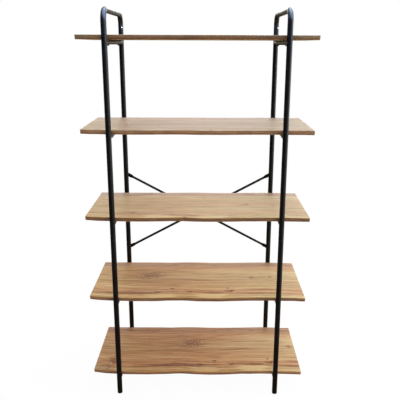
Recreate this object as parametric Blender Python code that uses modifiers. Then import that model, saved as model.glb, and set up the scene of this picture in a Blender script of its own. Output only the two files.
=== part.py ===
"""Shelving unit: five live-edge boards between two tubular side frames, with a crossed rear brace.

Metres, +Z up, front at -Y. The origin is on the floor, at the middle of the whole unit's footprint.
"""

import math

import bmesh
import bpy
from mathutils import Vector

# Side frames
LEG_SPACING_X = 0.750
LEG_SPACING_Y = 0.446
TUBE_DIAMETER = 0.024
TUBE_WALL = 0.0015
FRAME_HEIGHT = 1.780
BEND_RADIUS = 0.045
JOINT_HEIGHT = 0.790

# Swaged top of each lower leg, which plugs into the frame above it
SWAGE_LENGTH = 0.045
SWAGE_SHOULDER = 0.004
SWAGE_TIP = 0.0015
SWAGE_CLEARANCE = 0.0003

# Foot caps
FOOT_FLANGE_HEIGHT = 0.004
FOOT_EDGE = 0.0015
FOOT_PLUG_LENGTH = 0.018
FOOT_PLUG_WALL = 0.0016
FOOT_PLUG_CLEARANCE = 0.0003
FOOT_FIN_DEPTH = 0.0010
FOOT_FIN_PITCH = 0.0045
FOOT_FIN_COUNT = 2
FOOT_FIN_SLOPE_SHARE = 0.7

# Crossbars under the boards
CROSSBAR_DIAMETER = 0.020
CROSSBAR_WALL = 0.0012
WELD_RISE = 0.0010
WELD_RUN = 0.0030

# Shelf boards
SHELF_COUNT = 5
FIRST_SHELF_HEIGHT = 0.106
TOP_SHELF_DROP = 0.110
BOARD_LENGTH = 1.004
BOARD_DEPTH = 0.412
BOARD_THICKNESS = 0.019
EDGE_WAVE = 0.005
EDGE_SLOPE = 0.006

# Live edges: place along the board from its middle, and how far the edge stands out there
FRONT_EDGE_SHARES = (
    (-1.00, -3.0), (-0.96, -2.1), (-0.90, -1.0), (-0.84, -0.4), (-0.72, 0.4), (-0.60, 0.9), (-0.48, 0.9),
    (-0.36, 0.45), (-0.27, -0.2), (-0.18, -0.55), (-0.12, -0.45), (-0.06, 0.1), (0.00, 0.6), (0.08, 0.85),
    (0.22, 0.85), (0.30, 0.35), (0.36, 0.0), (0.42, -0.5), (0.52, -0.75), (0.64, -1.0), (0.74, -0.8),
    (0.84, -0.45), (0.90, -0.4), (0.96, 0.05), (1.00, 0.2),
)
BACK_EDGE_SHARES = (
    (-1.00, 0.5), (-0.95, 0.5), (-0.88, -0.1), (-0.42, -0.1), (-0.30, -0.4), (-0.24, -0.1), (-0.18, 0.3),
    (-0.09, 0.55), (0.00, 0.4), (0.06, 0.05), (0.13, -0.4), (0.28, -0.4), (0.38, -0.1), (0.48, 0.2),
    (0.60, 0.75), (0.69, 1.0), (0.78, 0.65), (0.84, 0.4), (0.90, -0.3), (1.00, -0.35),
)
# Section of a live edge: height up the board's side, and how much of the slope is taken off there
EDGE_SECTION_SHARES = ((0.0, 1.0), (0.45, 0.35), (0.88, 0.0), (1.0, 0.14))

# Screws that hold each board down, from below through the crossbars
BOARD_SCREW_SPACING = 0.270
BOARD_SCREW_DIAMETER = 0.005
BOARD_SCREW_DEPTH = 0.012
BOARD_SCREW_TIP = 0.003
BOARD_SCREW_HEAD_DIAMETER = 0.0105
BOARD_SCREW_HEAD_HEIGHT = 0.0045

# Crossed brace behind the rear legs
BRACE_UPPER_HEIGHT = 0.982
BRACE_LOWER_HEIGHT = 0.575
BRACE_DIAMETER = 0.012
BRACE_FLAT_WIDTH = 0.018
BRACE_FLAT_THICKNESS = 0.0028
BRACE_END_FLAT = 0.026
BRACE_CENTRE_FLAT = 0.022
BRACE_TAPER = 0.014

# Screws that hold the brace to the rear legs, from behind
BRACE_SCREW_DIAMETER = 0.005
BRACE_SCREW_LENGTH = 0.012
BRACE_SCREW_TIP = 0.0008
BRACE_SCREW_HEAD_DIAMETER = 0.0100
BRACE_SCREW_HEAD_HEIGHT = 0.0026

# Bolt and nut where the braces cross
CENTRE_BOLT_DIAMETER = 0.005
CENTRE_BOLT_TIP = 0.0008
CENTRE_BOLT_END = 0.0015
CENTRE_BOLT_HEAD_DIAMETER = 0.0100
CENTRE_BOLT_HEAD_HEIGHT = 0.0030
CENTRE_NUT_WIDTH = 0.0088
CENTRE_NUT_HEIGHT = 0.0040

# Small screws in the rear legs for a wall strap
STRAP_SCREW_UPPER_DROP = 0.071
STRAP_SCREW_LOWER_DROP = 0.248
STRAP_SCREW_DIAMETER = 0.0032
STRAP_SCREW_LENGTH = 0.008
STRAP_SCREW_TIP = 0.0010
STRAP_SCREW_HEAD_DIAMETER = 0.0062
STRAP_SCREW_HEAD_HEIGHT = 0.0016
STRAP_SCREW_UPPER_ANGLE = math.radians(34.0)
STRAP_SCREW_LOWER_ANGLE = 0.0

# Shape of every pan head
HEAD_EDGE_SHARE = 0.4
HEAD_CROWN_SHARE = 0.62

# Clearances and cuts
SEAT_GAP = 0.0003
WELD_GAP = 0.0004
HOLE_CLEARANCE = 0.0003
CUT_OVERRUN = 0.003
MERGE_DISTANCE = 0.00002

# Facets
TUBE_SIDES = 18
BEND_STEPS = 5
CROSSBAR_SIDES = 16
FOOT_SIDES = 16
SCREW_SIDES = 8
BRACE_SIDES = 12
BOARD_STATIONS = 32
NUT_SIDES = 6
END_ROUND_STEPS = 3
TAPER_STEPS = 2
SMOOTH_ANGLE = math.radians(35.0)

LEG_X = LEG_SPACING_X / 2
LEG_Y = LEG_SPACING_Y / 2
TUBE_RADIUS = TUBE_DIAMETER / 2
TUBE_BORE = TUBE_RADIUS - TUBE_WALL
CROSSBAR_RADIUS = CROSSBAR_DIAMETER / 2
SHELF_PITCH = (FRAME_HEIGHT - TOP_SHELF_DROP - FIRST_SHELF_HEIGHT) / (SHELF_COUNT - 1)
STRAP_ROWS = (
    ("upper", FRAME_HEIGHT - STRAP_SCREW_UPPER_DROP, STRAP_SCREW_UPPER_ANGLE),
    ("lower", FRAME_HEIGHT - STRAP_SCREW_LOWER_DROP, STRAP_SCREW_LOWER_ANGLE),
)
SIDES = (("left", -LEG_X), ("right", LEG_X))
ENDS = (("front", -LEG_Y), ("rear", LEG_Y))

# Layers behind the rear legs, each a seat gap from the last
LEG_BACK = LEG_Y + TUBE_RADIUS
BRACE_PLANE = LEG_BACK + SEAT_GAP + BRACE_FLAT_THICKNESS / 2
BRACE_STEP = (BRACE_FLAT_THICKNESS + SEAT_GAP) / 2
BRACE_SCREW_SEAT = BRACE_PLANE + BRACE_FLAT_THICKNESS / 2 + SEAT_GAP
CENTRE_BOLT_SEAT = BRACE_PLANE + BRACE_STEP + BRACE_FLAT_THICKNESS / 2 + SEAT_GAP
CENTRE_NUT_SEAT = BRACE_PLANE - BRACE_STEP - BRACE_FLAT_THICKNESS / 2 - SEAT_GAP
BRACE_RISE = BRACE_UPPER_HEIGHT - BRACE_LOWER_HEIGHT
BRACE_MIDDLE_HEIGHT = (BRACE_UPPER_HEIGHT + BRACE_LOWER_HEIGHT) / 2
BACK_REACH = max(
    BRACE_PLANE + BRACE_DIAMETER / 2,
    BRACE_SCREW_SEAT + BRACE_SCREW_HEAD_HEIGHT,
    CENTRE_BOLT_SEAT + CENTRE_BOLT_HEAD_HEIGHT,
)
FOOTPRINT_SHIFT = (LEG_BACK - BACK_REACH) / 2


def shelf_top(level):
    """Height of a board's top face, counted from the lowest board."""
    return FIRST_SHELF_HEIGHT + level * SHELF_PITCH


def shelf_bottom(level):
    """Height of a board's underside."""
    return shelf_top(level) - BOARD_THICKNESS


def crossbar_height(level):
    """Height of the crossbars' centre line under a board."""
    return shelf_bottom(level) - SEAT_GAP - CROSSBAR_RADIUS


def clear_scene():
    """Remove every object that the file holds."""
    for item in list(bpy.data.objects):
        bpy.data.objects.remove(item, do_unlink=True)


def make_collection(name):
    """New collection in the scene."""
    collection = bpy.data.collections.new(name)
    bpy.context.scene.collection.children.link(collection)
    return collection


def make_material(name, colour, roughness, metallic):
    """Principled material with a plain colour."""
    material = bpy.data.materials.new(name)
    material.use_nodes = True
    shader = material.node_tree.nodes["Principled BSDF"]
    shader.inputs["Base Color"].default_value = (*colour, 1.0)
    shader.inputs["Roughness"].default_value = roughness
    shader.inputs["Metallic"].default_value = metallic
    material.diffuse_color = (*colour, 1.0)
    return material


class Unit:
    """The collections, the root empty and the materials that every piece uses."""

    def __init__(self):
        self.parts = make_collection("shelving_unit")
        self.cutters = make_collection("shelving_unit_cutters")
        self.root = bpy.data.objects.new("shelving_unit", None)
        self.root.location = (0, FOOTPRINT_SHIFT, 0)
        self.parts.objects.link(self.root)
        self.steel = make_material("black_steel", (0.012, 0.013, 0.015), 0.38, 0.2)
        self.cap = make_material("black_plastic", (0.018, 0.018, 0.018), 0.55, 0.0)
        self.dark_screw = make_material("black_screw", (0.02, 0.02, 0.02), 0.4, 0.6)
        self.zinc = make_material("zinc_screw", (0.52, 0.53, 0.55), 0.35, 0.9)
        self.woods = []
        for level in range(SHELF_COUNT):
            self.woods.append(make_material(f"board_wood_{level + 1}", (0.42, 0.25, 0.125), 0.5, 0.0))

    def add(self, name, mesh, material, location=(0, 0, 0), rotation=(0, 0, 0)):
        """Named piece of the unit."""
        piece = bpy.data.objects.new(name, mesh)
        if not mesh.materials:
            mesh.materials.append(material)
        piece.location = location
        piece.rotation_euler = rotation
        piece.parent = self.root
        self.parts.objects.link(piece)
        return piece

    def add_cutter(self, name, mesh, location=(0, 0, 0), rotation=(0, 0, 0)):
        """Guide that cuts other pieces and is not a piece itself."""
        cutter = bpy.data.objects.new(name, mesh)
        cutter.location = location
        cutter.rotation_euler = rotation
        cutter.parent = self.root
        cutter.hide_render = True
        cutter.display_type = "WIRE"
        self.cutters.objects.link(cutter)
        return cutter


def repeat(item, offset):
    """Second copy of the item's shape, at an offset in the unit's own directions."""
    array = item.modifiers.new("Pattern", "ARRAY")
    array.use_relative_offset = False
    array.use_constant_offset = True
    array.constant_offset_displace = item.rotation_euler.to_matrix().inverted() @ Vector(offset)
    array.count = 2


def cut(piece, cutter):
    """Take the cutter's shape out of the piece."""
    boolean = piece.modifiers.new("Cut", "BOOLEAN")
    boolean.operation = "DIFFERENCE"
    boolean.solver = "EXACT"
    boolean.object = cutter


def shade(mesh):
    """Smooth shading with crisp corners."""
    mesh.shade_smooth()
    mesh.set_sharp_from_angle(angle=SMOOTH_ANGLE)
    return mesh


def evaluated_mesh(item):
    """Mesh of an object as its modifiers or its bevel leave it. The object is removed."""
    graph = bpy.context.evaluated_depsgraph_get()
    mesh = bpy.data.meshes.new_from_object(item.evaluated_get(graph))
    source = item.data
    bpy.data.objects.remove(item, do_unlink=True)
    if isinstance(source, bpy.types.Curve):
        bpy.data.curves.remove(source)
    else:
        bpy.data.meshes.remove(source)
    bm = bmesh.new()
    bm.from_mesh(mesh)
    bmesh.ops.remove_doubles(bm, verts=bm.verts, dist=MERGE_DISTANCE)
    bm.to_mesh(mesh)
    bm.free()
    return mesh


def turned_mesh(name, profile, sides):
    """Solid turned about Z from a profile of (radius, height) points."""
    mesh = bpy.data.meshes.new(name)
    bm = bmesh.new()
    verts = [bm.verts.new((radius, 0, height)) for radius, height in profile]
    closed = profile[0][0] > 0
    pairs = zip(verts, verts[1:] + verts[:1]) if closed else zip(verts, verts[1:])
    for first, second in pairs:
        bm.edges.new((first, second))
    bm.to_mesh(mesh)
    bm.free()
    item = bpy.data.objects.new(name, mesh)
    bpy.context.scene.collection.objects.link(item)
    screw = item.modifiers.new("Turn", "SCREW")
    screw.axis = "Z"
    screw.steps = sides
    screw.render_steps = sides
    screw.use_merge_vertices = True
    screw.merge_threshold = MERGE_DISTANCE
    return shade(evaluated_mesh(item))


def swept_mesh(name, points, radius, sides):
    """Round bar along a path, with flat ends."""
    curve = bpy.data.curves.new(name, "CURVE")
    curve.dimensions = "3D"
    curve.bevel_depth = radius
    curve.bevel_resolution = (sides - 4) // 2
    curve.use_fill_caps = True
    spline = curve.splines.new("POLY")
    spline.points.add(len(points) - 1)
    for point, place in zip(spline.points, points):
        point.co = (*place, 1)
    item = bpy.data.objects.new(name, curve)
    bpy.context.scene.collection.objects.link(item)
    return shade(evaluated_mesh(item))


def lofted_mesh(name, rings, closed_loop):
    """Skin over rings of points, capped at its last ring unless the rings close on themselves."""
    mesh = bpy.data.meshes.new(name)
    bm = bmesh.new()
    loops = [[bm.verts.new(point) for point in ring] for ring in rings]
    pairs = list(zip(loops, loops[1:]))
    if closed_loop:
        pairs.append((loops[-1], loops[0]))
    for lower, upper in pairs:
        for index in range(len(lower)):
            following = (index + 1) % len(lower)
            bm.faces.new((lower[index], lower[following], upper[following], upper[index]))
    if not closed_loop:
        bm.faces.new(loops[-1])
    bmesh.ops.recalc_face_normals(bm, faces=bm.faces)
    bm.to_mesh(mesh)
    bm.free()
    return shade(mesh)


def drill_mesh(name, diameter, bottom, top):
    """Round cutter about Z between two heights."""
    mesh = bpy.data.meshes.new(name)
    bm = bmesh.new()
    bmesh.ops.create_cone(
        bm, cap_ends=True, segments=SCREW_SIDES, radius1=diameter / 2, radius2=diameter / 2, depth=top - bottom
    )
    bmesh.ops.translate(bm, verts=bm.verts, vec=(0, 0, (top + bottom) / 2))
    bm.to_mesh(mesh)
    bm.free()
    return mesh


def pan_head_profile(diameter, length, tip, head_diameter, head_height):
    """Screw with its shank along +Z, its head below, and the head's seat at zero."""
    radius = diameter / 2
    head = head_diameter / 2
    return [
        (0, length),
        (radius - min(tip, radius / 2), length),
        (radius, length - tip),
        (radius, 0),
        (head, 0),
        (head, -head_height * HEAD_EDGE_SHARE),
        (head * HEAD_CROWN_SHARE, -head_height),
        (0, -head_height),
    ]


def wood_screw_profile(diameter, length, tip, head_diameter, head_height):
    """Pointed screw with its shank along +Z, its head below, and the head's seat at zero."""
    profile = pan_head_profile(diameter, length, tip, head_diameter, head_height)
    del profile[1]
    return profile


def arch_path():
    """Centre line of an inverted U, from the front joint over the top to the rear joint."""
    shoulder = FRAME_HEIGHT - TUBE_RADIUS - BEND_RADIUS
    front = [(0, -LEG_Y, JOINT_HEIGHT)]
    for step in range(BEND_STEPS + 1):
        angle = math.pi / 2 * step / BEND_STEPS
        across = -LEG_Y + BEND_RADIUS * (1 - math.cos(angle))
        front.append((0, across, shoulder + BEND_RADIUS * math.sin(angle)))
    return front + [(x, -y, z) for x, y, z in reversed(front)]


def bore_path():
    """The same line, run on past both open ends."""
    path = arch_path()
    first = path[0]
    last = path[-1]
    low = JOINT_HEIGHT - CUT_OVERRUN
    return [(first[0], first[1], low)] + path[1:-1] + [(last[0], last[1], low)]


def add_upper_frames(unit, brace_drill, strap_drills):
    """Two bent tubes, open at their lower ends."""
    mesh = swept_mesh("upper_frame", arch_path(), TUBE_RADIUS, TUBE_SIDES)
    bore = swept_mesh("upper_frame_bore", bore_path(), TUBE_BORE, TUBE_SIDES)
    bore_cutter = unit.add_cutter("upper_frame_bore", bore, location=(-LEG_X, 0, 0))
    repeat(bore_cutter, (LEG_SPACING_X, 0, 0))
    for side, across in SIDES:
        frame = unit.add(f"upper_frame_{side}", mesh, unit.steel, location=(across, 0, 0))
        cut(frame, bore_cutter)
        cut(frame, brace_drill)
        for drill in strap_drills:
            cut(frame, drill)


def lower_leg_profile():
    """Tube with a reduced top that fits inside the frame above."""
    swage = TUBE_BORE - SWAGE_CLEARANCE
    swage_bore = swage - TUBE_WALL
    shoulder = JOINT_HEIGHT - SWAGE_SHOULDER
    top = JOINT_HEIGHT + SWAGE_LENGTH
    bottom = FOOT_FLANGE_HEIGHT + SEAT_GAP
    return [
        (swage - SWAGE_TIP / 2, top),
        (swage, top - SWAGE_TIP),
        (swage, JOINT_HEIGHT),
        (TUBE_RADIUS, shoulder),
        (TUBE_RADIUS, bottom),
        (TUBE_BORE, bottom),
        (TUBE_BORE, shoulder - TUBE_WALL),
        (swage_bore, JOINT_HEIGHT),
        (swage_bore, top),
    ]


def add_lower_legs(unit, brace_drill):
    """Four straight legs below the frames."""
    mesh = turned_mesh("lower_leg", lower_leg_profile(), TUBE_SIDES)
    for end, along in ENDS:
        for side, across in SIDES:
            leg = unit.add(f"lower_leg_{end}_{side}", mesh, unit.steel, location=(across, along, 0))
            if end == "rear":
                cut(leg, brace_drill)


def foot_cap_profile():
    """Flange on the floor, with a hollow plug that has gripping fins."""
    fin = TUBE_BORE - FOOT_PLUG_CLEARANCE
    root = fin - FOOT_FIN_DEPTH
    inner = root - FOOT_PLUG_WALL
    top = FOOT_FLANGE_HEIGHT + FOOT_PLUG_LENGTH
    profile = [(0, FOOT_FLANGE_HEIGHT), (inner, FOOT_FLANGE_HEIGHT), (inner, top)]
    for number in range(FOOT_FIN_COUNT):
        height = top - number * FOOT_FIN_PITCH
        profile.append((root, height))
        profile.append((fin, height - FOOT_FIN_PITCH * FOOT_FIN_SLOPE_SHARE))
    profile += [
        (root, top - FOOT_FIN_COUNT * FOOT_FIN_PITCH),
        (root, FOOT_FLANGE_HEIGHT),
        (TUBE_RADIUS, FOOT_FLANGE_HEIGHT),
        (TUBE_RADIUS, FOOT_EDGE),
        (TUBE_RADIUS - FOOT_EDGE, 0),
        (0, 0),
    ]
    return profile


def add_foot_caps(unit):
    """Four plastic caps under the legs."""
    mesh = turned_mesh("foot_cap", foot_cap_profile(), FOOT_SIDES)
    for end, along in ENDS:
        for side, across in SIDES:
            unit.add(f"foot_cap_{end}_{side}", mesh, unit.cap, location=(across, along, 0))


def saddle_ring(radius, back, end):
    """Ring of a crossbar at a radius, set back from the leg's surface. End is -1 at the front."""
    reach = TUBE_RADIUS + WELD_GAP
    ring = []
    for step in range(CROSSBAR_SIDES):
        angle = 2 * math.pi * step / CROSSBAR_SIDES
        across = radius * math.cos(angle)
        sunk = math.sqrt(max(0, reach * reach - across * across))
        ring.append((across, end * (LEG_Y - sunk - back), radius * math.sin(angle)))
    return ring


def crossbar_mesh():
    """Tube coped to the legs at both ends, with a weld flare round each cope."""
    bore = CROSSBAR_RADIUS - CROSSBAR_WALL
    weld = CROSSBAR_RADIUS + WELD_RISE
    rings = [
        saddle_ring(weld, 0, -1),
        saddle_ring(CROSSBAR_RADIUS, WELD_RUN, -1),
        saddle_ring(CROSSBAR_RADIUS, WELD_RUN, 1),
        saddle_ring(weld, 0, 1),
        saddle_ring(bore, 0, 1),
        saddle_ring(bore, 0, -1),
    ]
    return lofted_mesh("crossbar", rings, True)


def add_crossbars(unit, screw_drills):
    """A crossbar on each side under each board."""
    mesh = crossbar_mesh()
    for level in range(SHELF_COUNT):
        for side, across in SIDES:
            place = (across, 0, crossbar_height(level))
            bar = unit.add(f"crossbar_{level + 1}_{side}", mesh, unit.steel, location=place)
            cut(bar, screw_drills[level])


def smooth_share(table, place):
    """Value of a table at a place, on a smooth curve through its points."""
    index = 0
    while index < len(table) - 2 and place > table[index + 1][0]:
        index += 1
    before = table[max(index - 1, 0)]
    start = table[index]
    end = table[index + 1]
    after = table[min(index + 2, len(table) - 1)]
    span = end[0] - start[0]
    run = (place - start[0]) / span
    leave = (end[1] - before[1]) / (end[0] - before[0]) * span
    arrive = (after[1] - start[1]) / (after[0] - start[0]) * span
    return (
        start[1] * (2 * run**3 - 3 * run**2 + 1)
        + leave * (run**3 - 2 * run**2 + run)
        + end[1] * (3 * run**2 - 2 * run**3)
        + arrive * (run**3 - run**2)
    )


def straight_share(table, place):
    """Value of a table at a place, on straight lines between its points."""
    for start, end in zip(table, table[1:]):
        if place <= end[0]:
            break
    run = (place - start[0]) / (end[0] - start[0])
    return start[1] + (end[1] - start[1]) * run


def board_mesh():
    """Board with live edges front and back. Its top face is at zero height."""
    mesh = bpy.data.meshes.new("shelf_board")
    bm = bmesh.new()
    bmesh.ops.create_cube(bm, size=1)
    for station in range(1, BOARD_STATIONS):
        place = (station / BOARD_STATIONS - 0.5, 0, 0)
        everything = bm.verts[:] + bm.edges[:] + bm.faces[:]
        bmesh.ops.bisect_plane(bm, geom=everything, plane_co=place, plane_no=(1, 0, 0))
    for height, _ in EDGE_SECTION_SHARES[1:-1]:
        everything = bm.verts[:] + bm.edges[:] + bm.faces[:]
        bmesh.ops.bisect_plane(bm, geom=everything, plane_co=(0, 0, height - 0.5), plane_no=(0, 0, 1))
    for vert in bm.verts:
        along = 2 * vert.co.x
        level = vert.co.z + 0.5
        side = math.copysign(1, vert.co.y)
        edge = FRONT_EDGE_SHARES if side < 0 else BACK_EDGE_SHARES
        wave = EDGE_WAVE * smooth_share(edge, along)
        slope = EDGE_SLOPE * straight_share(EDGE_SECTION_SHARES, level)
        vert.co.x = along * BOARD_LENGTH / 2
        vert.co.y = side * (BOARD_DEPTH / 2 + wave - slope)
        vert.co.z = (level - 1) * BOARD_THICKNESS
    bm.to_mesh(mesh)
    bm.free()
    return shade(mesh)


def add_boards(unit, screw_drills):
    """Five boards, each resting on its two crossbars."""
    for level in range(SHELF_COUNT):
        board = unit.add(
            f"shelf_board_{level + 1}", board_mesh(), unit.woods[level], location=(0, 0, shelf_top(level))
        )
        cut(board, screw_drills[level])


def add_screw_drills(unit):
    """For each level, the holes through both crossbars and up into the board."""
    low = -CROSSBAR_DIAMETER - SEAT_GAP - CUT_OVERRUN
    high = BOARD_SCREW_DEPTH + SEAT_GAP
    mesh = drill_mesh("board_screw_drill", BOARD_SCREW_DIAMETER + 2 * HOLE_CLEARANCE, low, high)
    drills = []
    for level in range(SHELF_COUNT):
        place = (-LEG_X, -BOARD_SCREW_SPACING / 2, shelf_bottom(level))
        drill = unit.add_cutter(f"board_screw_drill_{level + 1}", mesh, location=place)
        repeat(drill, (LEG_SPACING_X, 0, 0))
        repeat(drill, (0, BOARD_SCREW_SPACING, 0))
        drills.append(drill)
    return drills


def add_board_screws(unit):
    """Four screws under each board."""
    length = CROSSBAR_DIAMETER + 2 * SEAT_GAP + BOARD_SCREW_DEPTH
    profile = wood_screw_profile(
        BOARD_SCREW_DIAMETER, length, BOARD_SCREW_TIP, BOARD_SCREW_HEAD_DIAMETER, BOARD_SCREW_HEAD_HEIGHT
    )
    mesh = turned_mesh("board_screw", profile, SCREW_SIDES)
    for level in range(SHELF_COUNT):
        seat = crossbar_height(level) - CROSSBAR_RADIUS - SEAT_GAP
        for end, along in (("front", -BOARD_SCREW_SPACING / 2), ("rear", BOARD_SCREW_SPACING / 2)):
            for side, across in SIDES:
                name = f"board_screw_{level + 1}_{end}_{side}"
                unit.add(name, mesh, unit.dark_screw, location=(across, along, seat))


def brace_section(along, half_width, half_thickness, shift, flatness):
    """Ring across a brace rod, from round to a flat with rounded edges."""
    power = 1 - flatness / 2
    ring = []
    for step in range(BRACE_SIDES):
        angle = 2 * math.pi * step / BRACE_SIDES
        up = math.cos(angle)
        out = math.sin(angle)
        width = half_width * math.copysign(abs(up) ** power, up)
        depth = shift + half_thickness * math.copysign(abs(out) ** power, out)
        ring.append((along, depth, width))
    return ring


def blended_section(along, share, shift):
    """Ring part of the way from the flat to the round rod."""
    ease = share * share * (3 - 2 * share)
    flat = 1 - ease
    half_width = (BRACE_FLAT_WIDTH * flat + BRACE_DIAMETER * ease) / 2
    half_thickness = (BRACE_FLAT_THICKNESS * flat + BRACE_DIAMETER * ease) / 2
    return brace_section(along, half_width, half_thickness, shift * flat, flat)


def brace_mesh(name, shift):
    """Right half of a brace rod, from its middle flat to its rounded end."""
    half_length = math.hypot(LEG_SPACING_X, BRACE_RISE) / 2
    rings = [blended_section(0, 0, shift)]
    for step in range(TAPER_STEPS + 1):
        share = step / TAPER_STEPS
        rings.append(blended_section(BRACE_CENTRE_FLAT + BRACE_TAPER * share, share, shift))
    for step in range(TAPER_STEPS + 1):
        share = 1 - step / TAPER_STEPS
        rings.append(blended_section(half_length - BRACE_END_FLAT - BRACE_TAPER * share, share, 0))
    rings.append(blended_section(half_length, 0, 0))
    radius = BRACE_FLAT_WIDTH / 2
    for step in range(1, END_ROUND_STEPS + 1):
        angle = math.pi / 2 * step / (END_ROUND_STEPS + 0.5)
        along = half_length + radius * math.sin(angle)
        rings.append(brace_section(along, radius * math.cos(angle), BRACE_FLAT_THICKNESS / 2, 0, 1))
    return lofted_mesh(name, rings, False)


def add_braces(unit, brace_drill):
    """Two rods that cross behind the middle board, with their holes."""
    reach = CENTRE_NUT_HEIGHT + SEAT_GAP + BRACE_FLAT_THICKNESS + CUT_OVERRUN
    centre_drill = unit.add_cutter(
        "brace_centre_drill",
        drill_mesh("brace_centre_drill", CENTRE_BOLT_DIAMETER + 2 * HOLE_CLEARANCE, -reach, reach),
        location=(0, BRACE_PLANE, BRACE_MIDDLE_HEIGHT),
        rotation=(math.pi / 2, 0, 0),
    )
    slope = math.atan2(BRACE_RISE, LEG_SPACING_X)
    for name, turn, shift in (
        ("brace_rising_right", -slope, -BRACE_STEP),
        ("brace_rising_left", slope, BRACE_STEP),
    ):
        brace = unit.add(
            name,
            brace_mesh(name, shift),
            unit.steel,
            location=(0, BRACE_PLANE, BRACE_MIDDLE_HEIGHT),
            rotation=(0, turn, 0),
        )
        mirror = brace.modifiers.new("Mirror", "MIRROR")
        mirror.use_axis = (True, False, False)
        mirror.merge_threshold = MERGE_DISTANCE
        cut(brace, brace_drill)
        cut(brace, centre_drill)
    return centre_drill


def add_centre_bolt(unit, centre_drill):
    """Bolt from behind and nut in front, where the braces cross."""
    length = CENTRE_BOLT_SEAT - CENTRE_NUT_SEAT + CENTRE_NUT_HEIGHT + CENTRE_BOLT_END
    profile = pan_head_profile(
        CENTRE_BOLT_DIAMETER, length, CENTRE_BOLT_TIP, CENTRE_BOLT_HEAD_DIAMETER, CENTRE_BOLT_HEAD_HEIGHT
    )
    unit.add(
        "brace_centre_bolt",
        turned_mesh("brace_centre_bolt", profile, SCREW_SIDES),
        unit.dark_screw,
        location=(0, CENTRE_BOLT_SEAT, BRACE_MIDDLE_HEIGHT),
        rotation=(math.pi / 2, 0, 0),
    )
    corner = CENTRE_NUT_WIDTH / 2 / math.cos(math.pi / NUT_SIDES)
    mesh = bpy.data.meshes.new("brace_centre_nut")
    bm = bmesh.new()
    bmesh.ops.create_cone(
        bm, cap_ends=True, segments=NUT_SIDES, radius1=corner, radius2=corner, depth=CENTRE_NUT_HEIGHT
    )
    bm.to_mesh(mesh)
    bm.free()
    nut = unit.add(
        "brace_centre_nut",
        mesh,
        unit.dark_screw,
        location=(0, CENTRE_NUT_SEAT - CENTRE_NUT_HEIGHT / 2, BRACE_MIDDLE_HEIGHT),
        rotation=(math.pi / 2, 0, 0),
    )
    cut(nut, centre_drill)


def add_brace_drill(unit):
    """The holes through the brace's ends and the back wall of each rear leg."""
    low = -SEAT_GAP - BRACE_FLAT_THICKNESS - CUT_OVERRUN
    high = TUBE_WALL + CUT_OVERRUN
    drill = unit.add_cutter(
        "brace_end_drill",
        drill_mesh("brace_end_drill", BRACE_SCREW_DIAMETER + 2 * HOLE_CLEARANCE, low, high),
        location=(-LEG_X, LEG_BACK, BRACE_LOWER_HEIGHT),
        rotation=(math.pi / 2, 0, 0),
    )
    repeat(drill, (LEG_SPACING_X, 0, 0))
    repeat(drill, (0, 0, BRACE_RISE))
    return drill


def add_brace_screws(unit):
    """Four screws from behind, through the brace's flat ends into the rear legs."""
    profile = pan_head_profile(
        BRACE_SCREW_DIAMETER,
        BRACE_SCREW_LENGTH,
        BRACE_SCREW_TIP,
        BRACE_SCREW_HEAD_DIAMETER,
        BRACE_SCREW_HEAD_HEIGHT,
    )
    mesh = turned_mesh("brace_screw", profile, SCREW_SIDES)
    for row, height in (("upper", BRACE_UPPER_HEIGHT), ("lower", BRACE_LOWER_HEIGHT)):
        for side, across in SIDES:
            unit.add(
                f"brace_screw_{row}_{side}",
                mesh,
                unit.dark_screw,
                location=(across, BRACE_SCREW_SEAT, height),
                rotation=(math.pi / 2, 0, 0),
            )


def strap_seat(leg_across, height, angle):
    """Place of a strap screw's seat on a rear leg, at an angle round to the right from its front."""
    reach = TUBE_RADIUS + SEAT_GAP
    return (leg_across + reach * math.sin(angle), LEG_Y - reach * math.cos(angle), height)


def strap_turn(angle):
    """Turn that points a screw's shank at the leg's centre line."""
    return (-math.pi / 2, 0, angle)


def add_strap_drills(unit):
    """The holes for each row of strap screws, through the near wall of each rear leg."""
    depth = TUBE_WALL + CUT_OVERRUN
    drills = []
    for row, height, angle in STRAP_ROWS:
        name = f"strap_screw_drill_{row}"
        drill = unit.add_cutter(
            name,
            drill_mesh(name, STRAP_SCREW_DIAMETER + 2 * HOLE_CLEARANCE, -CUT_OVERRUN, depth),
            location=strap_seat(-LEG_X, height, angle),
            rotation=strap_turn(angle),
        )
        repeat(drill, (LEG_SPACING_X, 0, 0))
        drills.append(drill)
    return drills


def add_strap_screws(unit):
    """Two small screws on each rear leg."""
    profile = pan_head_profile(
        STRAP_SCREW_DIAMETER,
        STRAP_SCREW_LENGTH,
        STRAP_SCREW_TIP,
        STRAP_SCREW_HEAD_DIAMETER,
        STRAP_SCREW_HEAD_HEIGHT,
    )
    for row, height, angle in STRAP_ROWS:
        mesh = turned_mesh(f"strap_screw_{row}", profile, SCREW_SIDES)
        for side, across in SIDES:
            unit.add(
                f"strap_screw_{row}_{side}",
                mesh,
                unit.zinc if row == "upper" else unit.dark_screw,
                location=strap_seat(across, height, angle),
                rotation=strap_turn(angle),
            )


def main():
    clear_scene()
    unit = Unit()
    screw_drills = add_screw_drills(unit)
    brace_drill = add_brace_drill(unit)
    strap_drills = add_strap_drills(unit)
    add_upper_frames(unit, brace_drill, strap_drills)
    add_lower_legs(unit, brace_drill)
    add_foot_caps(unit)
    add_crossbars(unit, screw_drills)
    add_boards(unit, screw_drills)
    add_board_screws(unit)
    centre_drill = add_braces(unit, brace_drill)
    add_centre_bolt(unit, centre_drill)
    add_brace_screws(unit)
    add_strap_screws(unit)
    bpy.context.view_layer.update()


main()
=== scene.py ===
"""Shelving unit: five live-edge boards, two bent tube frames and a crossed rear brace, with their finishes.

Metres, +Z up, front at -Y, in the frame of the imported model.
"""

import math
from collections import namedtuple

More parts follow.
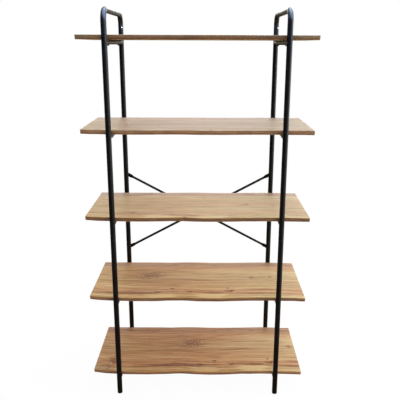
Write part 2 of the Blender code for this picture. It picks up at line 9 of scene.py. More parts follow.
import bmesh
import bpy
from bpy.props import FloatProperty, FloatVectorProperty, IntProperty, PointerProperty
from bpy.types import Operator, Panel, PropertyGroup
from mathutils import Matrix, Vector


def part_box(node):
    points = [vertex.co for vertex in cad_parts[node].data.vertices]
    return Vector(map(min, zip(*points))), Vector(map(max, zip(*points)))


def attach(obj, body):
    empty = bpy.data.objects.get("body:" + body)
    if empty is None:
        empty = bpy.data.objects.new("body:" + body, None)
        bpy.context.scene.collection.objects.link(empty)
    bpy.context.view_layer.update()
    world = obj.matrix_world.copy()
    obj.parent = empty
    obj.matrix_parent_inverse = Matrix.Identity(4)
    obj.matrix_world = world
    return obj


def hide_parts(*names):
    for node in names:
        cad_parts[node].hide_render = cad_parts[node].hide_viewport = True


bl_info = {
    "name": "Shelving unit",
    "version": (1, 0, 0),
    "blender": (4, 5, 0),
    "location": "3D View > Sidebar > Shelving",
    "description": "Builds the boards, frames, brace and fixings of a live-edge shelving unit, and its stage",
    "category": "Object",
}

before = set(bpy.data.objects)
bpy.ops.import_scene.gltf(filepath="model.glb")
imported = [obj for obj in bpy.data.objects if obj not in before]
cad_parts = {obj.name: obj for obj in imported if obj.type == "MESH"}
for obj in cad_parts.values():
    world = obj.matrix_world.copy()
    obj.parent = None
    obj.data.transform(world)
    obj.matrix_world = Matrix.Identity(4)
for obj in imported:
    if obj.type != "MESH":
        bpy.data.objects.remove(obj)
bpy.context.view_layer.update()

LEVELS = (1, 2, 3, 4, 5)
SIDES = ("left", "right")
LEGS = ("front_left", "front_right", "rear_left", "rear_right")

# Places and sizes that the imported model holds
ARCH_LOW, ARCH_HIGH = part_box("upper_frame_left")
BAR_LOW, BAR_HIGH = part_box("crossbar_1_left")
BOARD_LOW, BOARD_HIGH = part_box("shelf_board_1")
FLANGE_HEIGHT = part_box("lower_leg_front_left")[0].z
TUBE_RADIUS = (ARCH_HIGH.x - ARCH_LOW.x) / 2
JOINT_HEIGHT = ARCH_LOW.z
FRAME_HEIGHT = ARCH_HIGH.z
MIDDLE_Y = (ARCH_HIGH.y + ARCH_LOW.y) / 2
LEG_SPACING_Y = ARCH_HIGH.y - ARCH_LOW.y - 2 * TUBE_RADIUS
FRONT_LEGS_Y = MIDDLE_Y - LEG_SPACING_Y / 2
REAR_LEGS_Y = MIDDLE_Y + LEG_SPACING_Y / 2
BOARD_LENGTH = BOARD_HIGH.x - BOARD_LOW.x
BOARD_THICKNESS = BOARD_HIGH.z - BOARD_LOW.z

# Play between pieces that slide into each other or lie side by side
CLEARANCE = 0.0003

# Legs: how far their edges are broken, and over what height at the top and at the groove
EDGE_BREAK = 0.0006
SWAGE_LEAD = 0.0008
GROOVE_LEAD = 0.0005

# Foot caps: the flange's rounded rim, as distance inside it and height, and the plug's and its fins' sizes
FLANGE_RIM = ((0.0016, 0.0), (0.0008, 0.0003), (0.0002, 0.0009), (0.0, 0.0017))
FLANGE_CHAMFER = 0.0003
PLUG_WALL = 0.0016
PLUG_CHAMFER = 0.0002
FIN_START = 0.0020
FIN_DEPTH = 0.0010
FIN_LIP = 0.0005
FIN_HEIGHT = 0.0034
FIN_ROOM = 0.0036
FIN_PITCH = 0.0042

# Crossbars: wall, gap to the leg, and the weld bead as shares of its height and of its length from the leg
BAR_WALL = 0.0012
WELD_GAP = 0.0004
WELD_PROFILE = ((1.0, 0.0), (0.92, 0.22), (0.62, 0.5), (0.30, 0.8), (0.0, 1.0), (0.0, 1.2))
RIPPLE_SHARE = 0.16

# Brace rods: the flats reach END_FLAT in from the end screws and MIDDLE_FLAT out from the crossing
ROD_DIAMETER = 0.012
FLAT_WIDTH = 0.018
FLAT_THICKNESS = 0.0028
END_FLAT = 0.026
MIDDLE_FLAT = 0.022
FLAT_TAPER = 0.014

# Pan-head screws: section of the head as shares of its radius and height, and each kind's sizes
PAN_HEAD = (
    (0, 1), (0.34, 1), (0.58, 0.95), (0.80, 0.78), (0.94, 0.52), (1, 0.25), (1, 0.06), (0.98, 0),
)
ScrewSize = namedtuple("ScrewSize", "head_height shank tip pitch")
BOARD_SCREW = ScrewSize(0.0045, 0.0025, 0.0040, 0.0018)
ROD_SCREW = ScrewSize(0.0026, 0.0025, 0.0008, 0.0008)
CROSSING_BOLT = ScrewSize(0.0030, 0.0025, 0.0008, 0.0008)

# Their threads: crest and root as shares of the pitch, depth and point as shares of the shank's radius
THREAD_CREST = 0.15
THREAD_ROOT = 0.6
THREAD_DEPTH = 0.14
POINT_RADIUS = 0.78

# Their cross recess: width and length as shares of the head's radius, depth as a share of its height, and
# what is left of the length at the bottom
RECESS_WIDTH = 0.26
RECESS_LENGTH = 1.10
RECESS_DEPTH = 0.45
RECESS_TAPER = 0.55

# Nut at the crossing: radii of its thread, of the thread's mouth and of the ridge round it, the end face's
# radius as a share of the corner's, and how far shoulder and thread reach from the middle, in depths
NUT_BORE = 0.0026
NUT_MOUTH = 0.0028
NUT_LAND = 0.0034
NUT_FACE = 0.84
NUT_SHOULDER = 0.36
NUT_THREAD = 0.4

# Strap screws: section from the crown, which lies at -0.0016, to the point, their recess, and how far round
# the leg the upper ones are turned
STRAP_SCREW_PROFILE = (
    (0, -0.0016), (0.0011, -0.0016), (0.0020, -0.0014), (0.0027, -0.0010), (0.0031, -0.0005),
    (0.0031, 0), (0.0016, 0), (0.0016, 0.0070), (0.0006, 0.0080), (0, 0.0080),
)
STRAP_SCREW_RECESS = {"width": 0.0008, "length": 0.0034, "depth": 0.0007, "crown": -0.0016}
STRAP_SCREW_TURN = math.radians(34.0)

# Live edges: place along the board from its left end (-1) to its right (1), and how far the edge stands out
# there, as a share of the edge wave
FRONT_EDGE_SHARES = (
    (-1.00, -3.0), (-0.96, -2.1), (-0.90, -1.0), (-0.84, -0.4), (-0.72, 0.4), (-0.60, 0.9), (-0.48, 0.9),
    (-0.36, 0.45), (-0.27, -0.2), (-0.18, -0.55), (-0.12, -0.45), (-0.06, 0.1), (0.00, 0.6), (0.08, 0.85),
    (0.22, 0.85), (0.30, 0.35), (0.36, 0.0), (0.42, -0.5), (0.52, -0.75), (0.64, -1.0), (0.74, -0.8),
    (0.84, -0.45), (0.90, -0.4), (0.96, 0.05), (1.00, 0.2),
)
BACK_EDGE_SHARES = (
    (-1.00, 0.5), (-0.95, 0.5), (-0.88, -0.1), (-0.42, -0.1), (-0.30, -0.4), (-0.24, -0.1), (-0.18, 0.3),
    (-0.09, 0.55), (0.00, 0.4), (0.06, 0.05), (0.13, -0.4), (0.28, -0.4), (0.38, -0.1), (0.48, 0.2),
    (0.60, 0.75), (0.69, 1.0), (0.78, 0.65), (0.84, 0.4), (0.90, -0.3), (1.00, -0.35),
)
# Section of a live edge, from the underside up: height share, and share of the slope taken off there
EDGE_SECTION_SHARES = (
    (0.00, 1.00), (0.04, 0.93), (0.16, 0.74), (0.34, 0.46), (0.54, 0.22), (0.74, 0.05), (0.86, 0.00),
    (0.93, 0.03), (0.975, 0.10), (1.00, 0.24),
)
# How much of the slope comes and goes along a board, and the height share where the arris starts
SLOPE_CHANGE = 0.18
ARRIS_SHARE = 0.86

# Knots and dark strokes of a plank: place along it, distance behind the front edge, half length and half
# width, all in millimetres, and darkness in hundredths
FIGURED_MARKS = (
    (262, 250, 50, 36, 72), (300, 285, 60, 5, 90), (325, 253, 50, 4, 80), (240, 225, 30, 6, 90),
    (383, 93, 15, 11, 100), (310, 58, 14, 13, 88), (460, 62, 22, 16, 75), (657, 72, 25, 16, 88),
    (647, 103, 10, 7, 81), (770, 222, 13, 16, 42), (867, 228, 10, 16, 45), (-118, 88, 30, 36, 69),
    (-65, 377, 26, 7, 55), (65, 377, 26, 7, 55), (380, 378, 26, 7, 55), (473, 377, 26, 7, 55),
    (590, 378, 26, 7, 55), (480, 192, 95, 4, 75), (230, 83, 80, 7, 69), (580, 64, 120, 7, 69),
    (540, 78, 70, 4, 56), (100, 52, 90, 4, 56), (35, 290, 70, 4, 56), (190, 150, 120, 3, 44),
    (800, 88, 110, 5, 50), (560, 135, 140, 3, 44), (120, 345, 110, 4, 50), (-155, 30, 55, 26, 62),
    (20, 360, 80, 5, 50), (330, 365, 90, 5, 50), (530, 392, 70, 4, 50),
)
QUIET_MARKS = (
    (207, 77, 20, 13, 88), (195, 86, 50, 3, 62), (737, 207, 12, 19, 60), (720, 205, 20, 13, 38),
    (587, 55, 10, 7, 75), (777, 47, 11, 10, 50), (447, 6, 9, 15, 88), (527, 310, 8, 18, 40),
    (860, 190, 13, 10, 50), (175, 360, 60, 15, 55), (430, 372, 30, 4, 44), (250, 300, 20, 5, 44),
    (330, 110, 120, 4, 38), (650, 62, 150, 4, 38), (480, 215, 100, 3, 31), (150, 40, 60, 8, 45),
    (860, 372, 35, 14, 45), (300, 30, 90, 4, 40),
)
PLAIN_MARKS = (
    (330, 120, 11, 10, 50), (720, 300, 13, 10, 44), (560, 30, 9, 10, 56), (420, 200, 140, 4, 38),
    (650, 90, 120, 4, 38), (255, 8, 40, 7, 55), (300, 60, 70, 5, 45),
)
# A mark whose half width is over this is a swirl with dark arcs round it, and one less than three times as
# long as it is wide is a knot that the grain parts round
SWIRL_HALF_WIDTH = 0.03
KNOT_LENGTHS = 3

# Each board: where its stretch of the plank starts, its marks, the strength of its streaks, of its coloured
# bands and of the painted shade in its margins, and the tints of its top's left end, middle and right end,
# which paint in light and shade along it as well as its own tone, and of its sides
BoardLook = namedtuple("BoardLook", "start marks figure bands margins left middle right sides")
BOARD_LOOKS = {
    1: BoardLook(-0.205, FIGURED_MARKS, 1.00, 1.00, 0.05, (1.00, 1.05, 1.36), (0.83, 0.76, 0.77),
                 (0.97, 1.05, 1.32), (1.08, 1.07, 1.12)),
    2: BoardLook(0.000, FIGURED_MARKS, 0.95, 0.95, 0.20, (1.18, 1.36, 1.84), (1.00, 1.01, 1.08),
                 (1.02, 1.14, 1.46), (0.79, 0.81, 0.86)),
    3: BoardLook(0.000, QUIET_MARKS, 1.00, 0.75, 0.65, (1.25, 1.68, 2.80), (1.08, 1.28, 1.70),
                 (0.99, 1.20, 1.72), (0.68, 0.70, 0.74)),
    4: BoardLook(0.000, PLAIN_MARKS, 0.68, 0.30, 0.40, (1.26, 1.80, 3.80), (0.91, 1.07, 1.82),
                 (0.75, 0.86, 1.36), (1.00, 1.08, 1.24)),
    5: BoardLook(0.000, QUIET_MARKS, 0.75, 0.30, 0.30, (0.86, 1.03, 1.39), (0.74, 0.78, 0.86),
                 (0.68, 0.74, 0.88), (0.65, 0.72, 0.82)),
}
OUTER_EDGE_TINT = (1.10, 1.36, 1.52)
# Painted shade for the margins behind the front edge
MARGIN_SHADE_TINT = (0.98, 0.86, 0.70)
# Painted highlight along the front arris
ARRIS_HIGHLIGHT_LIFT = (1.14, 1.15, 1.12)
# Painted light on a strip behind the front edge
FRONT_LIGHT_LIFT = (1.10, 1.14, 1.10)

# Facets
TUBE_SIDES = 48
BEND_STEPS = 20
BAR_SIDES = 96
ROD_SIDES = 32
ROD_STEPS = 8
TURNED_SIDES = 40
SCREW_SIDES = 24
NUT_SIDES = 48
BOARD_STATIONS = 160
BOARD_ROWS = 22
SHARP_ANGLE = math.radians(38.0)
SAWN_ANGLE = math.radians(60.0)
MERGE_DISTANCE = 0.000005

# Softboxes: place, width, height and colour. They face the middle of the unit, the strips each an arch
UNIT_MIDDLE = (0, 0, 0.9)
OVERHEAD_SOFTBOX = ((0.3, 0.3, 3.4), 2.2, 1.4, (0.84, 0.92, 1.0))
SIDE_SOFTBOX = ((4.2, -0.2, 2.0), 1.4, 3.1, (0.94, 0.97, 1.0))
REAR_SOFTBOX = ((0.6, 2.7, 2.7), 3.2, 0.9, (1.0, 1.0, 1.0))
STRIP_SIZE = (0.52, 0.62)
STRIP_COLOUR = (0.42, 0.62, 1.0)
FLOOR_HALF_SIZE = 14.0


def number_property(name, description, default, low, high, **kind):
    """Number between two limits, with its subtype and unit where it has them."""
    return FloatProperty(name=name, description=description, default=default, min=low, max=high, **kind)


def length_property(name, description, default, low, high):
    """Length in metres."""
    return number_property(name, description, default, low, high, subtype="DISTANCE", unit="LENGTH")


def share_property(name, description, default, low=0.0):
    """Share of one."""
    return number_property(name, description, default, low, 1.0, subtype="FACTOR")


def power_property(name, description, default):
    """Power of a lamp in watts."""
    return number_property(name, description, default, 0.0, 1000.0, subtype="POWER", unit="POWER")


def angle_property(name, description, default):
    """Angle in radians."""
    return number_property(name, description, default, -math.pi, math.pi, subtype="ANGLE", unit="ROTATION")


def colour_property(name, description, default):
    """Colour of a surface."""
    return FloatVectorProperty(
        name=name, description=description, default=default, size=3, min=0.0, max=1.0, subtype="COLOR"
    )


class SteelSettings(PropertyGroup):
    """Sizes and finish of the painted steel."""

    bend_radius: length_property(
        "Bend radius", "Centre line radius of the frame's two bends", 0.045, 0.03, 0.12
    )
    tube_wall: length_property("Tube wall", "Wall thickness of the frame tubes", 0.0015, 0.0008, 0.003)
    swage_shoulder: length_property(
        "Joint groove", "Height of the tapered groove where a leg enters the frame", 0.004, 0.001, 0.01
    )
    weld_rise: length_property(
        "Weld height", "How far a weld bead stands out from a crossbar at the leg", 0.0010, 0.0003, 0.006
    )
    weld_run: length_property(
        "Weld length", "How far a weld bead runs along a crossbar", 0.0030, 0.001, 0.008
    )
    weld_ripples: IntProperty(
        name="Weld ripples", description="Ripples round one weld bead", default=22, min=8, max=40
    )
    colour: colour_property("Colour", "Powder coat colour", (0.0020, 0.0022, 0.0027))
    roughness: share_property("Roughness", "Gloss of the powder coat", 0.34, 0.05)
    specular: share_property("Shine", "Strength of the powder coat's reflections", 0.26)


class WoodSettings(PropertyGroup):
    """Colours, grain and edges of the boards."""

    edge_wave: length_property("Edge wave", "Size of the live edge's waves", 0.005, 0.0, 0.012)
    edge_slope: length_property(
        "Edge slope", "How far the live edge leans in at the underside", 0.006, 0.0, 0.015
    )
    board_depth: length_property("Board depth", "Depth of a board without its waves", 0.412, 0.3, 0.5)
    end_bevel: length_property("End bevel", "Rounding of the sawn ends", 0.0012, 0.0002, 0.004)
    warm: colour_property(
        "Warm heartwood", "Colour of the heartwood at the plank's left", (0.430, 0.222, 0.060)
    )
    pale: colour_property(
        "Pale heartwood", "Colour of the heartwood at the plank's right", (0.490, 0.315, 0.120)
    )
    red: colour_property(
        "Red band", "Colour of the reddish band behind the sapwood", (0.545, 0.256, 0.092)
    )
    rose: colour_property(
        "Rear band", "Colour of the pinkish band along the rear edge", (0.320, 0.165, 0.082)
    )
    streak: colour_property("Streaks", "Colour of the dark grain lines and knots", (0.170, 0.040, 0.004))
    sap: colour_property(
        "Sapwood", "Colour of the pale patches behind the front edge", (0.640, 0.440, 0.188)
    )
    edge: colour_property("Live edge", "Colour of the boards' sides", (0.300, 0.155, 0.070))
    roughness: share_property("Roughness", "Gloss of the clear finish", 0.52, 0.05)
    specular: share_property("Shine", "Strength of the clear finish's reflections", 0.25)


class FixingSettings(PropertyGroup):
    """Colours of the screws, the bolt, the nut and the foot caps."""

    black: colour_property("Black fixings", "Colour of the blackened screws", (0.020, 0.020, 0.021))
    zinc: colour_property("Zinc fixings", "Colour of the zinc-plated screws", (0.90, 0.91, 0.93))
    plastic: colour_property("Foot plastic", "Colour of the foot caps", (0.014, 0.014, 0.015))


class StageSettings(PropertyGroup):
    """Camera, lamps, room and floor."""

    camera_place: FloatVectorProperty(
        name="Camera place", description="Where the camera stands", size=3, subtype="TRANSLATION",
        unit="LENGTH", default=(0.0384, -2.4438, 1.6333),
    )
    camera_pitch: angle_property("Camera pitch", "How far the camera looks down", 0.2675)
    camera_roll: angle_property("Camera roll", "Turn of the camera about its own line of sight", 0.0037)
    focal_length: number_property(
        "Focal length", "Lens of the camera, in millimetres", 47.546, 10.0, 200.0
    )
    shift_x: number_property("Shift across", "Sideways shift of the lens", -0.0147, -0.2, 0.2)
    shift_y: number_property("Shift up", "Upward shift of the lens", -0.0274, -0.2, 0.2)
    floor: colour_property("Floor", "Colour of the floor", (0.88, 0.88, 0.88))
    overhead_power: power_property("Overhead softbox", "Power of the lamp above", 45.0)
    side_power: power_property("Side softbox", "Power of the lamp on the right", 135.0)
    rear_power: power_property("Rear softbox", "Power of the lamp behind and above", 45.0)
    strip_power: power_property("Arch strips", "Power of each blue strip lamp over an arch", 14.0)
    dusk: colour_property(
        "Dusk", "Colour that the paint mirrors in front of the unit", (0.05, 0.09, 0.17)
    )
    floor_mirrored: colour_property(
        "Mirrored floor", "Colour of the floor that the paint mirrors on the left", (0.200, 0.130, 0.075)
    )
    room_light: number_property("Room light", "Strength of the room's light on the unit", 1.0, 0.0, 2.0)
    dark_side: share_property("Dark side", "Share of white in front of the unit and to its left", 0.05)


class Nodes:
    """Shader nodes of a finish or of the room, put down and joined by plain calls."""

    def __init__(self, tree):
        self.tree = tree

    def put(self, socket, value):
        """Set a socket to a value, or join it to another node's output."""
        if isinstance(value, bpy.types.NodeSocket):
            self.tree.links.new(value, socket)
        elif socket.type == "RGBA":
            socket.default_value = (*value, 1.0)
        else:
            socket.default_value = value

    def add(self, kind, settings=None, **inputs):
        """Node of a kind, with its options and its inputs by name."""
        node = self.tree.nodes.new(f"ShaderNode{kind}")
        for option, value in (settings or {}).items():
            setattr(node, option, value)
        for name, value in inputs.items():
            self.put(node.inputs[name.replace("_", " ")], value)
        return node

    def math(self, operation, first, second=0.0):
        """Result of one sum on two values."""
        node = self.add("Math", {"operation": operation})
        self.put(node.inputs[0], first)
        self.put(node.inputs[1], second)
        return node.outputs[0]

    def times(self, first, *others):
        """Product of a few values."""
        for other in others:
            first = self.math("MULTIPLY", first, other)
        return first

    def largest(self, first, *others):
        """Largest of a few values."""
        for other in others:
            first = self.math("MAXIMUM", first, other)
        return first

    def distance(self, first, second):
        """Length of the line that runs so far one way and so far across it."""
        return self.math("SQRT", self.math("ADD", self.times(first, first), self.times(second, second)))

    def band(self, value, low, high, start=0.0, end=1.0):
        """Value carried from one range to another, with soft ends."""
        node = self.add("MapRange", {"interpolation_type": "SMOOTHSTEP"}, Value=value)
        for name, number in (("From Min", low), ("From Max", high), ("To Min", start), ("To Max", end)):
            self.put(node.inputs[name], number)
        return node.outputs["Result"]

    def blend(self, share, first, second, mode="MIX"):
        """Two colours mixed by a share."""
        node = self.add("Mix", {"data_type": "RGBA", "blend_type": mode}, Factor=share)
        self.put(node.inputs[6], first)
        self.put(node.inputs[7], second)
        return node.outputs[2]

    def wash(self, colour, layer, value, low, high, most=1.0, mode="MIX"):
        """Colour with a layer of another where a value runs from one number to another."""
        return self.blend(self.band(value, low, high, 0.0, most), colour, layer, mode)

    def place(self, coordinate="Object"):
        """Texture coordinate. Object gives metres in the unit's own frame."""
        return self.add("TexCoord").outputs[coordinate]

    def split(self, vector):
        """X, Y and Z of a vector."""
        return self.add("SeparateXYZ", Vector=vector).outputs

    def join(self, x, y, z):
        """Vector of three values."""
        return self.add("CombineXYZ", X=x, Y=y, Z=z).outputs[0]

    def stretch(self, vector, scale, move=(0, 0, 0)):
        """Vector scaled and moved."""
        return self.add("Mapping", Vector=vector, Scale=scale, Location=move).outputs[0]

    def noise(self, vector, scale=1.0, detail=2.0, roughness=0.5):
        """Soft noise from 0 to 1 on a vector."""
        return self.add("TexNoise", Vector=vector, Scale=scale, Detail=detail, Roughness=roughness).outputs[0]

    def rays(self):
        """Whether a ray comes from the camera, and whether from a mirroring or clear surface."""
        path = self.add("LightPath").outputs
        return path["Is Camera Ray"], self.largest(path["Is Glossy Ray"], path["Is Transmission Ray"])


class Finish(Nodes):
    """Nodes of one material, ending in its Principled shader."""

    def __init__(self, name):
        self.material = bpy.data.materials.new(name)
        self.material.use_nodes = True
        super().__init__(self.material.node_tree)
        self.shader = self.tree.nodes["Principled BSDF"]

    def bump(self, height, distance, strength):
        """Surface relief from a height."""
        node = self.add("Bump", Height=height, Distance=distance, Strength=strength)
        self.put(self.shader.inputs["Normal"], node.outputs[0])

    def finish(self, **inputs):
        """Set or join the shader's own inputs and return the material."""
        for name, value in inputs.items():
            self.put(self.shader.inputs[name.replace("_", " ")], value)
        return self.material


def powder_coat(settings):
    """Black powder coat with a fine orange peel and a little change in gloss."""
    paint = Finish("black_powder_coat")
    place = paint.place()
    cloud = paint.noise(place, scale=26, detail=3)
    peel = paint.noise(place, scale=520, detail=2)
    gloss = settings.roughness
    paint.bump(peel, 0.00010, 0.5)
    return paint.finish(
        Base_Color=paint.wash(settings.colour, settings.colour * 1.7, cloud, 0.35, 0.7),
        Roughness=paint.band(cloud, 0.3, 0.7, gloss - 0.05, gloss + 0.05),
        Specular_IOR_Level=settings.specular,
    )


def foot_plastic(settings):
    """Moulded black plastic with a fine spark grain."""
    plastic = Finish("foot_plastic")
    grain = plastic.noise(plastic.place(), scale=1400, detail=2, roughness=0.7)
    plastic.bump(grain, 0.00008, 0.6)
    return plastic.finish(
        Base_Color=plastic.wash(settings.plastic, settings.plastic * 1.8, grain, 0.4, 0.7),
        Roughness=plastic.band(grain, 0.3, 0.7, 0.52, 0.66),
    )


def black_screw(settings):
    """Blackened steel with a slight wear on its gloss."""
    steel = Finish("blackened_screw")
    wear = steel.noise(steel.place(), scale=900, detail=3, roughness=0.6)
    return steel.finish(
        Base_Color=steel.wash(settings.black, settings.black * 2.4, wear, 0.45, 0.75),
        Roughness=steel.band(wear, 0.3, 0.7, 0.30, 0.46),
        Metallic=0.55,
    )


def zinc_screw(settings):
    """Zinc-plated steel with fine turned lines."""
    steel = Finish("zinc_screw")
    lines = steel.noise(steel.stretch(steel.place(), (2600, 2600, 400)), detail=3, roughness=0.6)
    return steel.finish(
        Base_Color=steel.wash(settings.zinc * 0.92, settings.zinc, lines, 0.35, 0.7),
        Roughness=steel.band(lines, 0.3, 0.7, 0.52, 0.66),
        Metallic=1.0,
    )


class Acacia(Finish):
    """Wood of one board, on its own stretch of the plank."""

    def __init__(self, settings, level):
        super().__init__(f"acacia_board_{level}")
        self.wood = settings
        self.level = level
        self.look = BOARD_LOOKS[level]
        self.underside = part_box(f"shelf_board_{level}")[0].z
        self.seed = 1.7 + 5.3 * max(level - 2, 0)
        self.x, self.y, self.z = self.split(self.place())
        self.along = self.math("ADD", self.x, BOARD_LENGTH / 2 + self.look.start)
        self.back = self.add("Attribute", {"attribute_name": "from_front"}).outputs["Fac"]
        self.rear = self.add("Attribute", {"attribute_name": "from_rear"}).outputs["Fac"]

    def field(self, along_scale, across, across_scale, detail, roughness=0.5, offset=0.0):
        """Noise with its own scales along and across the grain."""
        vector = self.join(
            self.times(self.along, along_scale), self.times(across, across_scale), self.seed + offset
        )
        return self.noise(vector, detail=detail, roughness=roughness)

    def moved(self, value, noise, size):
        """Value moved to and fro by a noise."""
        return self.math("ADD", value, self.times(self.math("SUBTRACT", noise, 0.5), size))

    def draw_grain(self):
        """Lay out the grain lines, the knots that they part round, and the halos round the knots."""
        self.grain = self.moved(self.back, self.field(1.8, self.back, 8.0, 2, offset=11.0), 0.014)
        shaken = self.field(30.0, self.back, 60.0, 3, 0.6, 13.0)
        plane = self.join(self.moved(self.along, shaken, 0.030), self.moved(self.back, shaken, 0.016), 0.0)
        self.hearts = 0.0
        self.halos = 0.0
        for *sizes, darkness in self.look.marks:
            mark_along, mark_back, half_length, half_width = (size / 1000 for size in sizes)
            depth = darkness / 100
            scale = (1 / half_length, 1 / half_width, 0.0)
            move = (-mark_along / half_length, -mark_back / half_width, 0.0)
            apart = self.stretch(plane, scale, move)
            gap = self.add("VectorMath", {"operation": "LENGTH"}, Vector=apart).outputs["Value"]
            self.hearts = self.largest(self.hearts, self.band(gap, 0.30, 1.15, depth, 0.0))
            if half_width > SWIRL_HALF_WIDTH:
                arcs = self.math("SINE", self.times(self.math("ADD", gap, shaken), 13.0))
                arcs = self.times(self.band(arcs, 0.25, 0.85), self.band(gap, 1.9, 0.5, 0.0, 0.85))
                self.hearts = self.largest(self.hearts, arcs)
            if half_length < KNOT_LENGTHS * half_width:
                halo = self.band(gap, 0.0, 2.2, 1.0, 0.0)
                parted = self.times(self.math("SUBTRACT", self.back, mark_back), halo)
                self.grain = self.math("SUBTRACT", self.grain, self.times(parted, 0.7))
                self.halos = self.largest(self.halos, self.times(halo, depth))
        self.streaks = self.field(2.6, self.grain, 105.0, 5, 0.68, 3.0)
        self.pores = self.field(30.0, self.grain, 800.0, 3, 0.6, 7.0)
        self.ragged = self.field(3.2, self.grain, 110.0, 5, 0.70, 5.0)

    def heartwood(self):
        """Heartwood's colour, with broad bands, streaks and short strokes that follow the grain."""
        wood = self.wood
        broad = self.field(0.6, self.grain, 28.0, 4, 0.6)
        strokes = self.field(7.0, self.grain, 165.0, 3, 0.6, 17.0)
        colour = self.wash(wood.warm, wood.pale, self.along, 0.15, 0.95)
        for layer, noise, low, high, strength in (
            (wood.red, broad, 0.46, 0.62, 0.55), (wood.sap, broad, 0.46, 0.32, 0.55),
            (wood.streak, self.streaks, 0.52, 0.64, 0.50), (wood.sap, self.streaks, 0.47, 0.36, 0.65),
            (wood.streak, strokes, 0.56, 0.66, 0.55), (wood.sap, strokes, 0.43, 0.33, 0.50),
        ):
            colour = self.wash(colour, layer, noise, low, high, strength * self.look.figure)
        return colour

    def ribbon(self, colour, share, layer, strength, low, high, rust):
        """Colour with a ragged ribbon of another laid over it, which has rusty streaks."""
        bands = self.look.bands
        colour = self.blend(self.times(share, strength * bands), colour, layer)
        rusty = self.times(share, self.band(self.ragged, low, high, 0.0, rust * bands))
        return self.blend(rusty, colour, self.wood.streak)

    def add_bands(self, colour):
        """Add sapwood patches behind the front edge, a reddish band behind them, a pinkish one along the
        rear, painted shade in the front and rear margins and a painted highlight along the front arris."""
        swing = self.math("SINE", self.times(self.math("SUBTRACT", self.along, 0.264), 25.6))
        reach = self.moved(self.math("SUBTRACT", self.back, self.times(swing, 0.004)), self.ragged, 0.130)
        red_share = self.times(self.band(reach, 0.036, 0.050), self.band(reach, 0.115, 0.080))
        colour = self.ribbon(colour, red_share, self.wood.red, 0.60, 0.49, 0.56, 0.90)
        patchy = self.moved(swing, self.field(6.0, self.grain, 60.0, 4, 0.6, 19.0), 4.5)
        patches = self.times(
            self.band(self.along, 0.08, 0.18), self.band(self.along, 0.80, 0.66),
            self.band(patchy, -0.8, 0.5, 0.10, 0.80),
        )
        sap_share = self.times(self.band(reach, 0.050, 0.036), self.largest(patches, 0.15))
        colour = self.blend(self.times(sap_share, self.look.bands), colour, self.wood.sap)
        rear_reach = self.moved(self.rear, self.ragged, 0.110)
        rear_share = self.times(self.band(rear_reach, 0.070, 0.048), self.band(rear_reach, -0.005, 0.015))
        colour = self.ribbon(colour, rear_share, self.wood.rose, 0.65, 0.50, 0.58, 0.50)
        # Painted shade along the rear margin, in the colour of the rear band, which it also deepens
        colour = self.wash(colour, self.wood.rose, self.rear, 0.12, 0.02, self.look.margins)
        # Painted shade in a band behind the front edge
        colour = self.wash(colour, MARGIN_SHADE_TINT, self.back, 0.070, 0.030, self.look.margins, "MULTIPLY")
        # Painted highlight along the front arris
        return self.wash(colour, ARRIS_HIGHLIGHT_LIFT, self.back, 0.030, 0.006, 1.0, "MULTIPLY")

    def add_knots(self, colour):
        """Add the knots, the flecks round them and the pores."""
        speck = self.field(80.0, self.back, 120.0, 3, 0.6, 9.0)
        for low, high, fleck in ((0.52, 0.62, self.wood.streak), (0.46, 0.36, self.wood.sap)):
            flecks = self.times(self.halos, self.band(speck, low, high, 0.0, 0.85))
            colour = self.blend(flecks, colour, fleck)
        knots = self.times(self.hearts, self.band(speck, 0.30, 0.62, 0.45, 1.0))
        colour = self.blend(knots, colour, self.wood.streak)
        return self.wash(colour, self.wood.streak, self.pores, 0.58, 0.76, 0.22)

    def add_tints(self, colour):
        """Add the board's tints from end to end, which paint in light and shade along it as well as its own
        tone, and painted light on a strip behind its front edge.
        """
        # Tints along the top: the board's own tone with painted light and shade from end to end
        shade = self.wash(self.look.middle, self.look.right, self.x, -0.05, 0.50)
        shade = self.wash(shade, self.look.left, self.x, -0.26, -0.46)
        colour = self.blend(1.0, colour, shade, "MULTIPLY")
        # Painted light: a lighter strip behind the front edge, short of the right end
        front_light = self.times(
            self.band(self.back, 0.20, 0.08), self.band(self.back, 0.005, 0.050, 0.5, 1.0),
            self.band(self.x, 0.47, 0.38),
        )
        return self.blend(front_light, colour, FRONT_LIGHT_LIFT, "MULTIPLY")

    def live_edge(self):
        """Colour of the live edges, with painted shade towards the underside. The top board's are paler at its
        ends.
        """
        patch = self.field(14.0, self.z, 120.0, 4, 0.6)
        colour = self.wash(self.wood.edge, self.wood.red, patch, 0.38, 0.66, 0.75)
        colour = self.wash(colour, self.wood.warm, patch, 0.40, 0.25, 0.6)
        colour = self.blend(1.0, colour, self.look.sides, "MULTIPLY")
        if self.level == LEVELS[-1]:
            outward = self.math("ABSOLUTE", self.x)
            colour = self.wash(colour, OUTER_EDGE_TINT, outward, 0.34, 0.44, 1.0, "MULTIPLY")
        # Painted shade: the live edge darkens towards the underside
        lower = self.band(self.z, self.underside + 0.003, self.underside + 0.011, 0.65, 0.0)
        return self.blend(lower, colour, self.wood.streak)

    def end_grain(self):
        """Colour of the sawn ends, with rings round a pith above the board."""
        depth = self.math("SUBTRACT", self.z, self.underside + 0.060)
        rings = self.math("SINE", self.times(self.distance(self.y, depth), 1500.0))
        return self.blend(self.band(rings, -0.6, 0.9, 0.2, 0.8), self.wood.warm, self.wood.edge)

